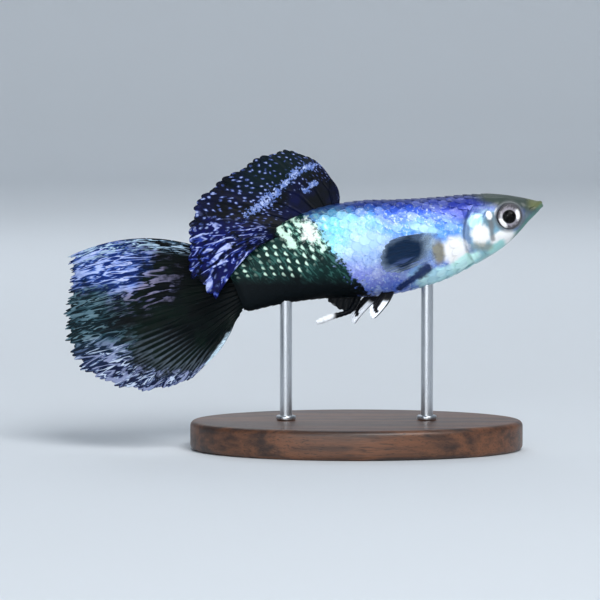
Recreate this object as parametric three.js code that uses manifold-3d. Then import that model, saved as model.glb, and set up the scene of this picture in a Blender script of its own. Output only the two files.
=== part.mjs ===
// Male fancy guppy, life size, on a plain display stand.
// Millimetres, +Z up. The snout points along +X and the fish's right side faces -Y.
// The origin is the centre of the stand's underside.

import * as THREE from 'three';
import { mergeVertices } from 'three/addons/utils/BufferGeometryUtils.js';
import Module from 'manifold-3d';

const wasm = await Module();
wasm.setup();

// Driving sizes

const GAP = 0.3; // the parting left between touching pieces
const MEMBRANE = 0.5; // a fin's thickness between its rays
const BODY_LENGTH = 32.3; // snout to tail root, along the spine
const EYE_RADIUS = 1.38;
const EYE_DEPTH = 0.95; // half the eyeball's thickness, side to side
const BASE_THICKNESS = 3;
const BASE_HALF_LENGTH = 17;
const BASE_HALF_WIDTH = 10.5;
const BASE_BEVEL = 0.5;
const ROD_RADIUS = 0.65;
const ROD_PLACES = [7.2, -7.2]; // along X, under the belly and under the tail stalk

// The line down the middle of the body, snout first. The stalk swings a little to the right side.
const SPINE = new THREE.CatmullRomCurve3([
  new THREE.Vector3(18.67, 0, 25.07),
  new THREE.Vector3(14.48, 0, 23.44),
  new THREE.Vector3(8.36, 0, 21.6),
  new THREE.Vector3(4.28, 0, 20.79),
  new THREE.Vector3(0.2, 0, 20.28),
  new THREE.Vector3(-5.92, -0.15, 19.05),
  new THREE.Vector3(-10.0, -0.45, 17.73),
  new THREE.Vector3(-12.44, -0.7, 16.71),
]);
SPINE.arcLengthDivisions = 400;

// Sections of the body: share of its length from the snout, reach above and below the spine,
// half width, and how square the section is above and below (2 is an ellipse).
const STATIONS = [
  { at: 0.0, up: 0.3, down: 0.34, half: 0.7, squareUp: 2.2, squareDown: 2.0 },
  { at: 0.012, up: 0.56, down: 0.6, half: 1.04, squareUp: 2.3, squareDown: 2.0 },
  { at: 0.03, up: 0.98, down: 0.86, half: 1.28, squareUp: 2.5, squareDown: 2.0 },
  { at: 0.055, up: 1.5, down: 1.2, half: 1.56, squareUp: 2.6, squareDown: 2.0 },
  { at: 0.09, up: 2.15, down: 1.8, half: 1.92, squareUp: 2.7, squareDown: 2.0 },
  { at: 0.14, up: 2.86, down: 2.6, half: 2.28, squareUp: 2.7, squareDown: 2.0 },
  { at: 0.2, up: 3.42, down: 3.2, half: 2.55, squareUp: 2.5, squareDown: 1.95 },
  { at: 0.27, up: 3.88, down: 3.72, half: 2.72, squareUp: 2.3, squareDown: 1.9 },
  { at: 0.36, up: 4.36, down: 4.32, half: 2.82, squareUp: 2.15, squareDown: 1.95 },
  { at: 0.48, up: 4.84, down: 4.74, half: 2.82, squareUp: 2.0, squareDown: 2.05 },
  { at: 0.58, up: 5.1, down: 4.76, half: 2.6, squareUp: 1.95, squareDown: 2.05 },
  { at: 0.7, up: 5.02, down: 4.24, half: 2.18, squareUp: 1.95, squareDown: 2.0 },
  { at: 0.82, up: 4.24, down: 3.74, half: 1.66, squareUp: 2.0, squareDown: 2.0 },
  { at: 0.92, up: 3.3, down: 3.28, half: 1.22, squareUp: 2.0, squareDown: 2.0 },
  { at: 0.985, up: 2.76, down: 2.94, half: 0.86, squareUp: 2.0, squareDown: 2.0 },
  { at: 1.0, up: 2.45, down: 2.62, half: 0.5, squareUp: 2.0, squareDown: 2.0 },
];

// Small tools

const clamp01 = (value) => Math.min(1, Math.max(0, value));
const lerp = (a, b, t) => a + (b - a) * t;
const smooth = (t) => clamp01(t) * clamp01(t) * (3 - 2 * clamp01(t));
const lerpPoint = (a, b, t) => a.clone().lerp(b, t);

// Runs a smooth curve through rows of numbers, so that the same rows can drive any size.
function follow(rows, key, where, field) {
  const last = rows.length - 1;
  let i = 0;
  while (i < last - 1 && rows[i + 1][key] < where) i += 1;
  const slope = (k) => {
    const a = rows[Math.max(0, k - 1)];
    const b = rows[Math.min(last, k + 1)];
    return (b[field] - a[field]) / (b[key] - a[key]);
  };
  const p = rows[i];
  const q = rows[i + 1];
  const span = q[key] - p[key];
  const t = clamp01((where - p[key]) / span);
  const t2 = t * t;
  const t3 = t2 * t;
  return (
    (2 * t3 - 3 * t2 + 1) * p[field] +
    (t3 - 2 * t2 + t) * span * slope(i) +
    (3 * t2 - 2 * t3) * q[field] +
    (t3 - t2) * span * slope(i + 1)
  );
}

function geometryOf(solid) {
  const mesh = solid.getMesh();
  const positions = new Float32Array(mesh.numVert * 3);
  for (let i = 0; i < mesh.numVert; i += 1) {
    positions.set(mesh.vertProperties.subarray(i * mesh.numProp, i * mesh.numProp + 3), i * 3);
  }
  const geometry = new THREE.BufferGeometry();
  geometry.setAttribute('position', new THREE.BufferAttribute(positions, 3));
  geometry.setIndex(new THREE.BufferAttribute(mesh.triVerts, 1));
  return geometry;
}

function solidOf(geometry) {
  const bare = geometry.clone();
  bare.deleteAttribute('normal');
  bare.deleteAttribute('uv');
  const merged = mergeVertices(bare, 1e-4);
  return new wasm.Manifold(
    new wasm.Mesh({
      numProp: 3,
      vertProperties: new Float32Array(merged.attributes.position.array),
      triVerts: new Uint32Array(merged.index.array),
    }),
  );
}

const join = (solids) => solids.reduce((sum, piece) => sum.add(piece));

// Keeps the largest closed body and drops loose scraps.
function largest(solid) {
  const bodies = solid.decompose();
  return bodies.reduce((best, body) => (body.volume() > best.volume() ? body : best));
}

// A closed skin over rings of points, with a point at each end. Every ring has the same count.
function loftRings(rings, startPoint, endPoint) {
  const count = rings[0].length;
  const points = [startPoint, ...rings.flat(), endPoint];
  const index = [];
  const ringAt = (r, k) => 1 + r * count + (k % count);
  for (let k = 0; k < count; k += 1) {
    index.push(0, ringAt(0, k), ringAt(0, k + 1));
    index.push(points.length - 1, ringAt(rings.length - 1, k + 1), ringAt(rings.length - 1, k));
  }
  for (let r = 0; r < rings.length - 1; r += 1) {
    for (let k = 0; k < count; k += 1) {
      index.push(ringAt(r, k), ringAt(r + 1, k), ringAt(r + 1, k + 1));
      index.push(ringAt(r, k), ringAt(r + 1, k + 1), ringAt(r, k + 1));
    }
  }
  return closedGeometry(points, index);
}

function closedGeometry(points, index) {
  const geometry = new THREE.BufferGeometry();
  geometry.setAttribute(
    'position',
    new THREE.Float32BufferAttribute(points.flatMap((p) => [p.x, p.y, p.z]), 3),
  );
  geometry.setIndex(index);
  return geometry;
}

// Turns a solid the right way out if its faces were wound inwards.
function outward(geometry) {
  const solid = solidOf(geometry);
  if (solid.volume() > 0) return solid;
  const index = Array.from(geometry.index.array);
  for (let i = 0; i < index.length; i += 3) [index[i + 1], index[i + 2]] = [index[i + 2], index[i + 1]];
  geometry.setIndex(index);
  return solidOf(geometry);
}

// The body's surface. Angle 0 is the left side, a quarter turn is the back, and a half turn
// is the right side.

function spineFrame(at) {
  const centre = SPINE.getPointAt(clamp01(at));
  const back = SPINE.getTangentAt(clamp01(at));
  const left = back.clone().cross(new THREE.Vector3(0, 0, 1)).normalize();
  const up = left.clone().cross(back).normalize();
  return { centre, back, left, up };
}

function sectionSizes(at) {
  const size = (field) => follow(STATIONS, 'at', at, field);
  return {
    up: size('up'),
    down: size('down'),
    half: size('half'),
    squareUp: size('squareUp'),
    squareDown: size('squareDown'),
  };
}

function bodyPoint(at, angle, grow = 0) {
  const { centre, left, up } = spineFrame(at);
  const size = sectionSizes(at);
  const c = Math.cos(angle);
  const s = Math.sin(angle);
  const power = 2 / (s > 0 ? size.squareUp : size.squareDown);
  const across = Math.sign(c) * Math.abs(c) ** power * (size.half + grow);
  const along = Math.sign(s) * Math.abs(s) ** power * ((s > 0 ? size.up : size.down) + grow);
  return centre.clone().addScaledVector(left, across).addScaledVector(up, along);
}

// A stretch of the body as a closed loft. shape adjusts each point, as the head's relief does.
function bodySolid({ from = 0, to = 1, rings: ringCount, sides, grow = 0, crowd = 1, shape = (p) => p }) {
  const rings = [];
  for (let r = 0; r <= ringCount; r += 1) {
    const at = lerp(from, to, (r / ringCount) ** crowd);
    const ring = [];
    for (let k = 0; k < sides; k += 1) ring.push(shape(bodyPoint(at, (2 * Math.PI * k) / sides, grow)));
    rings.push(ring);
  }
  const first = spineFrame(from);
  const last = spineFrame(to);
  // A whole end bulges a little, and grows outwards with the rest
  const firstPoint = first.centre.clone().addScaledVector(first.back, -(from === 0 ? 0.2 + grow : 0));
  const lastPoint = last.centre.clone().addScaledVector(last.back, to === 1 ? 0.2 + grow : 0);
  if (from === 0) rings[0].forEach((p) => p.addScaledVector(first.back, -grow));
  if (to === 1) rings[ringCount].forEach((p) => p.addScaledVector(last.back, grow));
  return outward(loftRings(rings, firstPoint, lastPoint));
}

function ellipsoid(centre, radii, segments = 20, rings = 12) {
  const geometry = new THREE.SphereGeometry(1, segments, rings);
  geometry.scale(radii.x, radii.y, radii.z);
  geometry.translate(centre.x, centre.y, centre.z);
  return outward(geometry);
}

// A round bar along a list of points, each with its own radius. No bar here runs along level.
function taperedBar(points, radii, sides, level) {
  const rings = points.map((point, i) => {
    const before = points[Math.max(0, i - 1)];
    const after = points[Math.min(points.length - 1, i + 1)];
    const along = after.clone().sub(before).normalize();
    const side = level.clone().cross(along).normalize();
    const other = along.clone().cross(side);
    return Array.from({ length: sides }, (_, k) => {
      const turn = (2 * Math.PI * k) / sides;
      return point
        .clone()
        .addScaledVector(side, Math.cos(turn) * radii[i])
        .addScaledVector(other, Math.sin(turn) * radii[i]);
    });
  });
  return outward(loftRings(rings, points[0], points[points.length - 1]));
}

// Fins. A fin is a fan of rays with a web between them. Its middle surface is a function of
// how far across the fan a point is (0 at the leading ray, 1 at the last) and how far out.
// The rays are ridges raised in both faces, and each forks into two part of the way out.

function rayRelief(across, out, rayCount, forkAt, forkSpread) {
  const pitch = 1 / (rayCount - 1);
  const nearest = Math.round(across / pitch) * pitch;
  const offset = Math.abs(across - nearest) / pitch; // 0 on a ray, 0.5 midway between two
  const forked = smooth((out - forkAt) / 0.12) * forkSpread;
  return clamp01(1 - Math.abs(offset - forked) / 0.24);
}

function finSolid(fin) {
  const { rays, surface, rim, steps, rayHeight, forkAt = 2, columnsPerRay = 4 } = fin;
  const columns = (rays - 1) * columnsPerRay;
  const middle = [];
  for (let i = 0; i <= columns; i += 1) {
    const across = i / columns;
    const line = [];
    for (let j = 0; j <= steps; j += 1) line.push(surface(across, (j / steps) * rim(across), j / steps));
    middle.push(line);
  }
  const front = [];
  const back = [];
  for (let i = 0; i <= columns; i += 1) {
    for (let j = 0; j <= steps; j += 1) {
      const outward2 = middle[i][Math.min(steps, j + 1)].clone().sub(middle[i][Math.max(0, j - 1)]);
      const sideways = middle[Math.min(columns, i + 1)][j].clone().sub(middle[Math.max(0, i - 1)][j]);
      const normal = outward2.cross(sideways).normalize();
      const out = j / steps;
      const relief = rayRelief(i / columns, out, rays, forkAt, 0.25);
      const half = MEMBRANE / 2 + relief * lerp(rayHeight, rayHeight * 0.35, out);
      front.push(middle[i][j].clone().addScaledVector(normal, half));
      back.push(middle[i][j].clone().addScaledVector(normal, -half));
    }
  }
  const wide = steps + 1;
  const total = front.length;
  const index = [];
  const quad = (a, b, c, d) => index.push(a, b, c, a, c, d);
  for (let i = 0; i < columns; i += 1) {
    for (let j = 0; j < steps; j += 1) {
      const a = i * wide + j;
      const b = a + 1;
      const c = a + wide + 1;
      const d = a + wide;
      index.push(a, b, c, a, c, d);
      index.push(a + total, c + total, b + total, a + total, d + total, c + total);
    }
  }
  for (let j = 0; j < steps; j += 1) {
    quad(j, j + total, j + 1 + total, j + 1);
    const a = columns * wide + j;
    quad(a + 1, a + 1 + total, a + total, a);
  }
  for (let i = 0; i < columns; i += 1) {
    const root = i * wide;
    quad(root + wide, root + wide + total, root + total, root);
    const tip = root + steps;
    quad(tip, tip + total, tip + wide + total, tip + wide);
  }
  return outward(closedGeometry([...front, ...back], index));
}

// A ragged rim: the web stops a little short of the ray tips.
function raggedRim(rays, depth) {
  return (across) => {
    const offset = Math.abs(across * (rays - 1) - Math.round(across * (rays - 1)));
    return 1 - depth * smooth(offset * 2);
  };
}

// Points on a fan, from rows of { across, root, tip, bow } where bow bends the ray sideways.
function fanSurface(rows, sway) {
  const value = (across, field, axis) =>
    follow(rows.map((row) => ({ across: row.across, v: row[field][axis] })), 'across', across, 'v');
  const point = (across, field) =>
    new THREE.Vector3(value(across, field, 0), value(across, field, 1), value(across, field, 2));
  return (across, reach) => {
    const root = point(across, 'root');
    const tip = point(across, 'tip');
    const bow = point(across, 'bow');
    const place = lerpPoint(root, tip, reach).addScaledVector(bow, 4 * reach * (1 - reach));
    place.y += sway(across, reach);
    return place;
  };
}

// The head, with its eyes, gill covers, mouth and nostrils

const sideSign = { right: -1, left: 1 };
const eyeAt = { x: 15.38, z: 23.88 };
const eyeSide = 1.62; // the eyeball's middle, out from the fish's midline
const eyeRidge = { width: 0.5, height: 0.24 };

// The gill covers end in an arc. A thin cut along it parts the head from the trunk.
const gillArc = { x: 15.5, z: 22.25, radius: 4.75 };
const gillCover = { plateWidth: 2.3, soft: 0.8, height: 0.26, top: 24.3, bottom: 19.0 };

// How far the skin of the head stands out sideways over the plain section
function headRelief(point) {
  const fromEye = Math.hypot(point.x - eyeAt.x, point.z - eyeAt.z);
  const ridgeAt = EYE_RADIUS + GAP + eyeRidge.width / 2;
  const ridge = eyeRidge.height * smooth(1 - Math.abs(fromEye - ridgeAt) / (eyeRidge.width * 1.5));
  const fromGillCentre = Math.hypot(point.x - gillArc.x, point.z - gillArc.z);
  const plate =
    gillCover.height *
    smooth((fromGillCentre - gillArc.radius + gillCover.plateWidth) / gillCover.soft) *
    smooth((gillCover.top - point.z) / 1.3) *
    smooth((point.z - gillCover.bottom) / 1.2) *
    smooth((gillArc.x - point.x) / 1.2);
  return ridge + plate;
}

function withRelief(point) {
  const towardsSide = smooth(Math.abs(point.y) / 1.6);
  point.y += Math.sign(point.y) * headRelief(point) * towardsSide;
  return point;
}

function eyeSolid(side, grow) {
  const centre = new THREE.Vector3(eyeAt.x, sideSign[side] * eyeSide, eyeAt.z);
  const radii = new THREE.Vector3(EYE_RADIUS + grow, EYE_DEPTH + grow, EYE_RADIUS + grow);
  return ellipsoid(centre, radii, 20, 12);
}

// The mouth is small and upturned: a slit that runs down and back from the tip of the snout
const mouth = { x: 18.5, z: 25.1, depth: 1.0, half: 1.5, gape: 0.11, slope: 0.5 };
function mouthCut() {
  const slit = new THREE.SphereGeometry(1, 16, 10);
  slit.scale(mouth.depth, mouth.half, mouth.gape);
  slit.rotateY(-mouth.slope);
  slit.translate(mouth.x, 0, mouth.z);
  return outward(slit);
}

// Lips: a short roll on each jaw, bowed round the snout and dying away at the corners
const lips = {
  upper: { front: [18.66, 25.36], side: [18.22, 0.8, 25.24], corner: [17.72, 1.22, 24.84], roll: 0.2 },
  lower: { front: [18.86, 24.93], side: [18.38, 0.8, 24.8], corner: [17.84, 1.18, 24.48], roll: 0.22 },
};
function lipSolid({ front, side, corner, roll }) {
  const [sideX, sideY, sideZ] = side;
  const [cornerX, cornerY, cornerZ] = corner;
  const line = new THREE.CatmullRomCurve3([
    new THREE.Vector3(cornerX, -cornerY, cornerZ),
    new THREE.Vector3(sideX, -sideY, sideZ),
    new THREE.Vector3(front[0], 0, front[1]),
    new THREE.Vector3(sideX, sideY, sideZ),
    new THREE.Vector3(cornerX, cornerY, cornerZ),
  ]);
  const points = line.getPoints(16);
  const radii = points.map((_, i) => roll * (0.4 + 0.6 * Math.sin((Math.PI * i) / 16)));
  return taperedBar(points, radii, 8, new THREE.Vector3(0, 0, 1));
}

const nostrilSpots = [
  { x: 17.2, y: 0.86, z: 25.72 },
  { x: 16.75, y: 1.12, z: 25.78 },
];
const nostrilRadii = new THREE.Vector3(0.15, 0.15, 0.42);
const nostrils = ['right', 'left'].flatMap((side) =>
  nostrilSpots.map((spot) =>
    ellipsoid(new THREE.Vector3(spot.x, sideSign[side] * spot.y, spot.z), nostrilRadii, 8, 6),
  ),
);

function gillDisc(radius) {
  const disc = new THREE.CylinderGeometry(radius, radius, 20, 80);
  disc.translate(gillArc.x, 0, gillArc.z);
  return outward(disc);
}

// Everything in front of the gill arc's centre belongs to the head
function aheadOf(x) {
  const box = new THREE.BoxGeometry(20, 20, 40);
  box.translate(x + 10, 0, gillArc.z);
  return outward(box);
}

const headLoft = bodySolid({ to: 0.36, rings: 30, sides: 40, crowd: 1.35, shape: withRelief });
const headWhole = join([
  headLoft.intersect(gillDisc(gillArc.radius).add(aheadOf(gillArc.x))),
  lipSolid(lips.upper),
  lipSolid(lips.lower),
]);
const headCuts = [eyeSolid('right', GAP), eyeSolid('left', GAP), mouthCut(), ...nostrils];
const head = largest(headCuts.reduce((solid, cut) => solid.subtract(cut), headWhole));

// The trunk and the tail stalk, parted by a flat cut square to the spine

function behindSpine(at) {
  const { centre, back, left, up } = spineFrame(at);
  const box = new THREE.BoxGeometry(30, 30, 30);
  box.translate(15, 0, 0);
  box.applyMatrix4(new THREE.Matrix4().makeBasis(back, up, left));
  box.translate(centre.x, centre.y, centre.z);
  return outward(box);
}

const stalkStart = 0.735; // share of the body's length
const stalkGap = GAP / BODY_LENGTH;
const bodyClear = bodySolid({ rings: 44, sides: 32, grow: GAP, crowd: 1.25 });
const trunkLoft = bodySolid({ from: 0.15, to: stalkStart, rings: 24, sides: 32 });
const trunk = largest(trunkLoft.subtract(gillDisc(gillArc.radius + GAP)).subtract(aheadOf(gillArc.x)));
const stalk = bodySolid({ from: stalkStart + stalkGap, to: 1, rings: 13, sides: 32 });

// Tail fin: a wide fan whose lower half curls towards the fish's right
const tailRays = 13;
const tailRows = [
  { across: 0.0, root: [-11.6, -0.65, 18.5], tip: [-29.6, 1.1, 19.55], bow: [0, 0.2, 2.5] },
  { across: 0.2, root: [-11.4, -0.68, 17.9], tip: [-29.6, 0.7, 17.0], bow: [0, 0.1, 1.4] },
  { across: 0.45, root: [-11.4, -0.7, 16.9], tip: [-30.0, -0.7, 12.3], bow: [0, -0.1, 0.3] },
  { across: 0.62, root: [-11.5, -0.7, 16.0], tip: [-28.2, -2.2, 8.4], bow: [0, -0.3, -0.4] },
  { across: 0.8, root: [-11.7, -0.7, 15.0], tip: [-22.2, -3.6, 6.3], bow: [-0.5, -0.6, -0.5] },
  { across: 0.92, root: [-12.0, -0.7, 14.4], tip: [-17.2, -4.2, 7.3], bow: [-0.6, -0.6, -0.4] },
  { across: 1.0, root: [-12.2, -0.7, 14.0], tip: [-14.8, -4.2, 9.6], bow: [0.1, -0.4, -0.5] },
];
const tailSway = (across, reach) => 0.5 * reach * reach * Math.sin(across * 4.6 * Math.PI + 0.5);
const tailRaw = finSolid({
  rays: tailRays,
  steps: 16,
  rayHeight: 0.2,
  forkAt: 0.45,
  rim: raggedRim(tailRays, 0.055),
  surface: fanSurface(tailRows, tailSway),
});

// Dorsal fin: a tall flag whose last rays fall over the fish's right side
const dorsalRays = 9;
const dorsalRows = [
  { across: 0.0, root: [-2.0, 0, 24.9], tip: [-2.6, 0.2, 27.5], bow: [0.45, 0, 0.2] },
  { across: 0.12, root: [-2.4, 0, 24.7], tip: [-4.2, 0.4, 29.5], bow: [0.3, 0, 0.2] },
  { across: 0.26, root: [-3.0, 0, 24.4], tip: [-7.6, 0.6, 30.6], bow: [0.2, 0.1, 0.3] },
  { across: 0.42, root: [-3.9, -0.02, 23.9], tip: [-11.6, 0.4, 29.1], bow: [0, 0.1, 0.3] },
  { across: 0.62, root: [-5.1, -0.08, 23.3], tip: [-16.3, -0.6, 25.5], bow: [0, 0, 0.3] },
  { across: 0.78, root: [-6.0, -0.12, 22.9], tip: [-17.3, -1.8, 21.4], bow: [0, -0.3, 0.5] },
  { across: 0.9, root: [-6.5, -0.15, 22.6], tip: [-16.9, -2.8, 17.8], bow: [0, -0.7, 1.0] },
  { across: 1.0, root: [-6.9, -0.18, 22.3], tip: [-14.3, -3.3, 15.5], bow: [-0.2, -1.0, 1.5] },
];
const dorsalSway = (across, reach) => 0.4 * reach * reach * Math.sin(across * 3.6 * Math.PI);
const dorsalRaw = finSolid({
  rays: dorsalRays,
  steps: 15,
  rayHeight: 0.18,
  forkAt: 0.5,
  rim: raggedRim(dorsalRays, 0.05),
  surface: fanSurface(dorsalRows, dorsalSway),
});

// Pectoral fins: clear paddles behind the gill covers
const pectoralRays = 7;
function pectoralRows(sign) {
  const lay = (x, y, z) => [x, sign * y, z];
  return [
    { across: 0.0, root: lay(9.2, 2.0, 21.7), tip: lay(6.2, 4.3, 22.2), bow: lay(0, 0.1, 0.3) },
    { across: 0.25, root: lay(9.1, 2.0, 21.45), tip: lay(3.4, 5.3, 21.7), bow: lay(0, 0.1, 0.3) },
    { across: 0.5, root: lay(9.0, 2.0, 21.1), tip: lay(2.3, 5.5, 20.2), bow: lay(0, 0.15, 0.2) },
    { across: 0.75, root: lay(9.0, 2.0, 20.7), tip: lay(2.5, 5.1, 18.6), bow: lay(0, 0.2, 0) },
    { across: 1.0, root: lay(9.1, 2.0, 20.3), tip: lay(4.0, 4.4, 18.3), bow: lay(0, 0.2, -0.1) },
  ];
}
function pectoralRaw(sign) {
  return finSolid({
    rays: pectoralRays,
    columnsPerRay: 2,
    steps: 8,
    rayHeight: 0.12,
    rim: raggedRim(pectoralRays, 0.03),
    surface: fanSurface(pectoralRows(sign), () => 0),
  });
}

// Pelvic fins: short blades under the belly, held a little apart
const pelvicRays = 4;
const pelvicRows = {
  right: [
    { across: 0, root: [3.9, -0.85, 16.4], tip: [1.75, -2.5, 13.55], bow: [0.2, -0.1, -0.1] },
    { across: 0.5, root: [3.4, -0.8, 16.4], tip: [1.35, -2.35, 13.6], bow: [0, -0.1, 0] },
    { across: 1, root: [2.9, -0.75, 16.5], tip: [1.2, -2.2, 14.5], bow: [0, -0.1, 0.1] },
  ],
  left: [
    { across: 0, root: [3.6, 0.85, 16.5], tip: [-0.15, 1.75, 12.65], bow: [-0.5, 0.1, -0.2] },
    { across: 0.5, root: [2.9, 0.8, 16.5], tip: [-0.6, 1.65, 12.9], bow: [-0.4, 0.1, 0] },
    { across: 1, root: [2.2, 0.75, 16.5], tip: [-0.55, 1.6, 13.9], bow: [-0.2, 0.1, 0.1] },
  ],
};
function pelvicRaw(side) {
  return finSolid({
    rays: pelvicRays,
    columnsPerRay: 2,
    steps: 8,
    rayHeight: 0.12,
    rim: raggedRim(pelvicRays, 0.06),
    surface: fanSurface(pelvicRows[side], () => 0),
  });
}

// Anal fin, drawn out in a male into a rod, with a small web at its root
const analRod = taperedBar(
  [
    new THREE.Vector3(0.3, -0.05, 16.6),
    new THREE.Vector3(0.0, -0.05, 15.2),
    new THREE.Vector3(-0.6, -0.08, 14.25),
    new THREE.Vector3(-1.5, -0.12, 13.85),
    new THREE.Vector3(-2.5, -0.16, 13.6),
    new THREE.Vector3(-3.3, -0.2, 13.3),
    new THREE.Vector3(-4.15, -0.22, 12.98),
  ],
  [0.5, 0.42, 0.33, 0.28, 0.27, 0.29, 0.12],
  10,
  new THREE.Vector3(0, 1, 0),
);
const analWebRows = [
  { across: 0, root: [0.2, -0.05, 16.6], tip: [-0.35, -0.08, 14.5], bow: [0, 0, 0] },
  { across: 0.5, root: [-0.9, -0.06, 16.6], tip: [-1.35, -0.1, 14.55], bow: [0, 0, 0] },
  { across: 1, root: [-2.1, -0.08, 16.6], tip: [-2.05, -0.12, 15.1], bow: [-0.2, 0, 0] },
];
const analWeb = finSolid({
  rays: 4,
  columnsPerRay: 2,
  steps: 6,
  rayHeight: 0.12,
  rim: raggedRim(4, 0.06),
  surface: fanSurface(analWebRows, () => 0),
});

const fromBody = (raw) => largest(raw.subtract(bodyClear));

// The stand: a low oval base with its top edge bevelled, and two upright rods

function ovalBase() {
  const outline = new THREE.Shape();
  const inset = BASE_BEVEL;
  outline.absellipse(0, 0, BASE_HALF_LENGTH - inset, BASE_HALF_WIDTH - inset, 0, 2 * Math.PI, false);
  const geometry = new THREE.ExtrudeGeometry(outline, {
    depth: BASE_THICKNESS - 2 * inset,
    bevelEnabled: true,
    bevelThickness: inset,
    bevelSize: inset,
    bevelSegments: 1,
    curveSegments: 32,
  });
  geometry.translate(0, 0, inset);
  return outward(geometry);
}

function bellyHeight(x) {
  let low = 0.2;
  let high = 1;
  for (let i = 0; i < 40; i += 1) {
    const at = (low + high) / 2;
    if (bodyPoint(at, -Math.PI / 2).x > x) low = at;
    else high = at;
  }
  return bodyPoint(low, -Math.PI / 2);
}

function rodSolid(x) {
  const belly = bellyHeight(x);
  const reach = belly.z + 1 - BASE_THICKNESS - GAP;
  const rod = new THREE.CylinderGeometry(ROD_RADIUS, ROD_RADIUS, reach, 20);
  rod.rotateX(Math.PI / 2);
  rod.translate(x, belly.y, BASE_THICKNESS + GAP + reach / 2);
  return fromBody(outward(rod));
}

// Colours and finishes

const finish = {
  silverBlue: new THREE.MeshStandardMaterial({ color: 0x8fb4e6, roughness: 0.3, metalness: 0.5 }),
  olive: new THREE.MeshStandardMaterial({ color: 0x6f7663, roughness: 0.4, metalness: 0.2 }),
  blackGreen: new THREE.MeshStandardMaterial({ color: 0x16241f, roughness: 0.35, metalness: 0.3 }),
  darkFin: new THREE.MeshStandardMaterial({ color: 0x151b33, roughness: 0.4, metalness: 0.2 }),
  clearFin: new THREE.MeshStandardMaterial({ color: 0x5d7288, roughness: 0.3, metalness: 0.1 }),
  eye: new THREE.MeshStandardMaterial({ color: 0xc8c9cf, roughness: 0.1, metalness: 0.3 }),
  wood: new THREE.MeshStandardMaterial({ color: 0x4a3022, roughness: 0.5, metalness: 0 }),
  steel: new THREE.MeshStandardMaterial({ color: 0xb9bcc0, roughness: 0.25, metalness: 1 }),
};

const guppy = new THREE.Group();

function addNode(name, solid, material) {
  const mesh = new THREE.Mesh(geometryOf(solid), material);
  mesh.name = name;
  guppy.add(mesh);
}

addNode('head', head, finish.olive);
addNode('trunk', trunk, finish.silverBlue);
addNode('tail_stalk', stalk, finish.blackGreen);
addNode('tail_fin', fromBody(tailRaw), finish.darkFin);
addNode('dorsal_fin', fromBody(dorsalRaw), finish.darkFin);
addNode('anal_fin', fromBody(analRod.add(analWeb)), finish.darkFin);
for (const side of ['right', 'left']) {
  addNode(`eye_${side}`, eyeSolid(side, 0), finish.eye);
  addNode(`pectoral_fin_${side}`, fromBody(pectoralRaw(sideSign[side])), finish.clearFin);
  addNode(`pelvic_fin_${side}`, fromBody(pelvicRaw(side)), finish.darkFin);
}
addNode('stand_base', ovalBase(), finish.wood);
addNode('stand_rod_front', rodSolid(ROD_PLACES[0]), finish.steel);
addNode('stand_rod_rear', rodSolid(ROD_PLACES[1]), finish.steel);

export default guppy;
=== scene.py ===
# %% [markdown]
# # A fancy guppy, life size, on a display stand
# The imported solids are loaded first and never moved. Everything below is built round them, in the same
# frame: metres, +Z up, the snout along +X and the fish's right side facing -Y. Sizes are easier to read
# in millimetres, so the tables are in millimetres and are scaled once, when a mesh is filled.

import math
from types import SimpleNamespace

import bpy
import mathutils
import numpy as np
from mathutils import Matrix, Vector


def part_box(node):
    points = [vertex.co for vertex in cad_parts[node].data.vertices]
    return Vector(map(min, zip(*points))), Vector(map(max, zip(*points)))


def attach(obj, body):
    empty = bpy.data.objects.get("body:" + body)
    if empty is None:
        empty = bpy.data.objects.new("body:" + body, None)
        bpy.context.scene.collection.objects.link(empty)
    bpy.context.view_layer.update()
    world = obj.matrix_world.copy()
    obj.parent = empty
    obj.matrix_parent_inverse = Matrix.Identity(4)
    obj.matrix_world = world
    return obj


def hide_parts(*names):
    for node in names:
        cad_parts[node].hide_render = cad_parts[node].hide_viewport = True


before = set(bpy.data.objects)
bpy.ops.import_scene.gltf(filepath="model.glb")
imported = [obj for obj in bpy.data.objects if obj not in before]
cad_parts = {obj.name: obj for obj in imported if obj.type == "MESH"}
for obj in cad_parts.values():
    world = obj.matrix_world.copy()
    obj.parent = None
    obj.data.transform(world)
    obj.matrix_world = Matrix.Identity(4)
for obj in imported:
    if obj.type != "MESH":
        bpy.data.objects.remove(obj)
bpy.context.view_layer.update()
MM = 0.001
print("nodes:", ", ".join(sorted(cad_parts)))

# %% [markdown]
# ## Camera and light
# The picture is a plain side view of a small fish, so a long lens some way off keeps the sides of the
# body parallel. Three soft lamps light the fish, and a fourth one lights the backdrop behind it. One small
# lamp would be simpler, but it would leave the dark fins without any shape.

# %% Camera
PICTURE_WIDTH = 61.2  # millimetres across the picture at the fish
LENS = 180.0
SENSOR = 36.0
CAMERA_TILT = math.radians(4.0)
LOOK_AT = np.array([-5.77, 0.0, 15.28])

reach = PICTURE_WIDTH * LENS / SENSOR
back_off = np.array([0.0, -math.cos(CAMERA_TILT), math.sin(CAMERA_TILT)]) * reach
bpy.ops.object.camera_add(
    location=(LOOK_AT + back_off) * MM, rotation=(math.pi / 2 - CAMERA_TILT, 0.0, 0.0)
)
camera = bpy.context.object
camera.data.lens = LENS
camera.data.sensor_width = SENSOR
camera.data.clip_start = 0.01
camera.data.clip_end = 20.0
bpy.context.scene.camera = camera
print("camera", [round(c / MM, 1) for c in camera.location], "mm")


# %% Lights
def soft_light(name, place, size, power, tint=(1.0, 1.0, 1.0), target=tuple(LOOK_AT * MM)):
    """A square lamp that faces the target. Places are in metres."""
    bpy.ops.object.light_add(type="AREA", location=place)
    lamp = bpy.context.object
    lamp.name = name
    lamp.data.size = size
    lamp.data.energy = power
    lamp.data.color = tint
    aim = mathutils.Vector(target) - lamp.location
    lamp.rotation_euler = aim.to_track_quat("-Z", "Y").to_euler()


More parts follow.
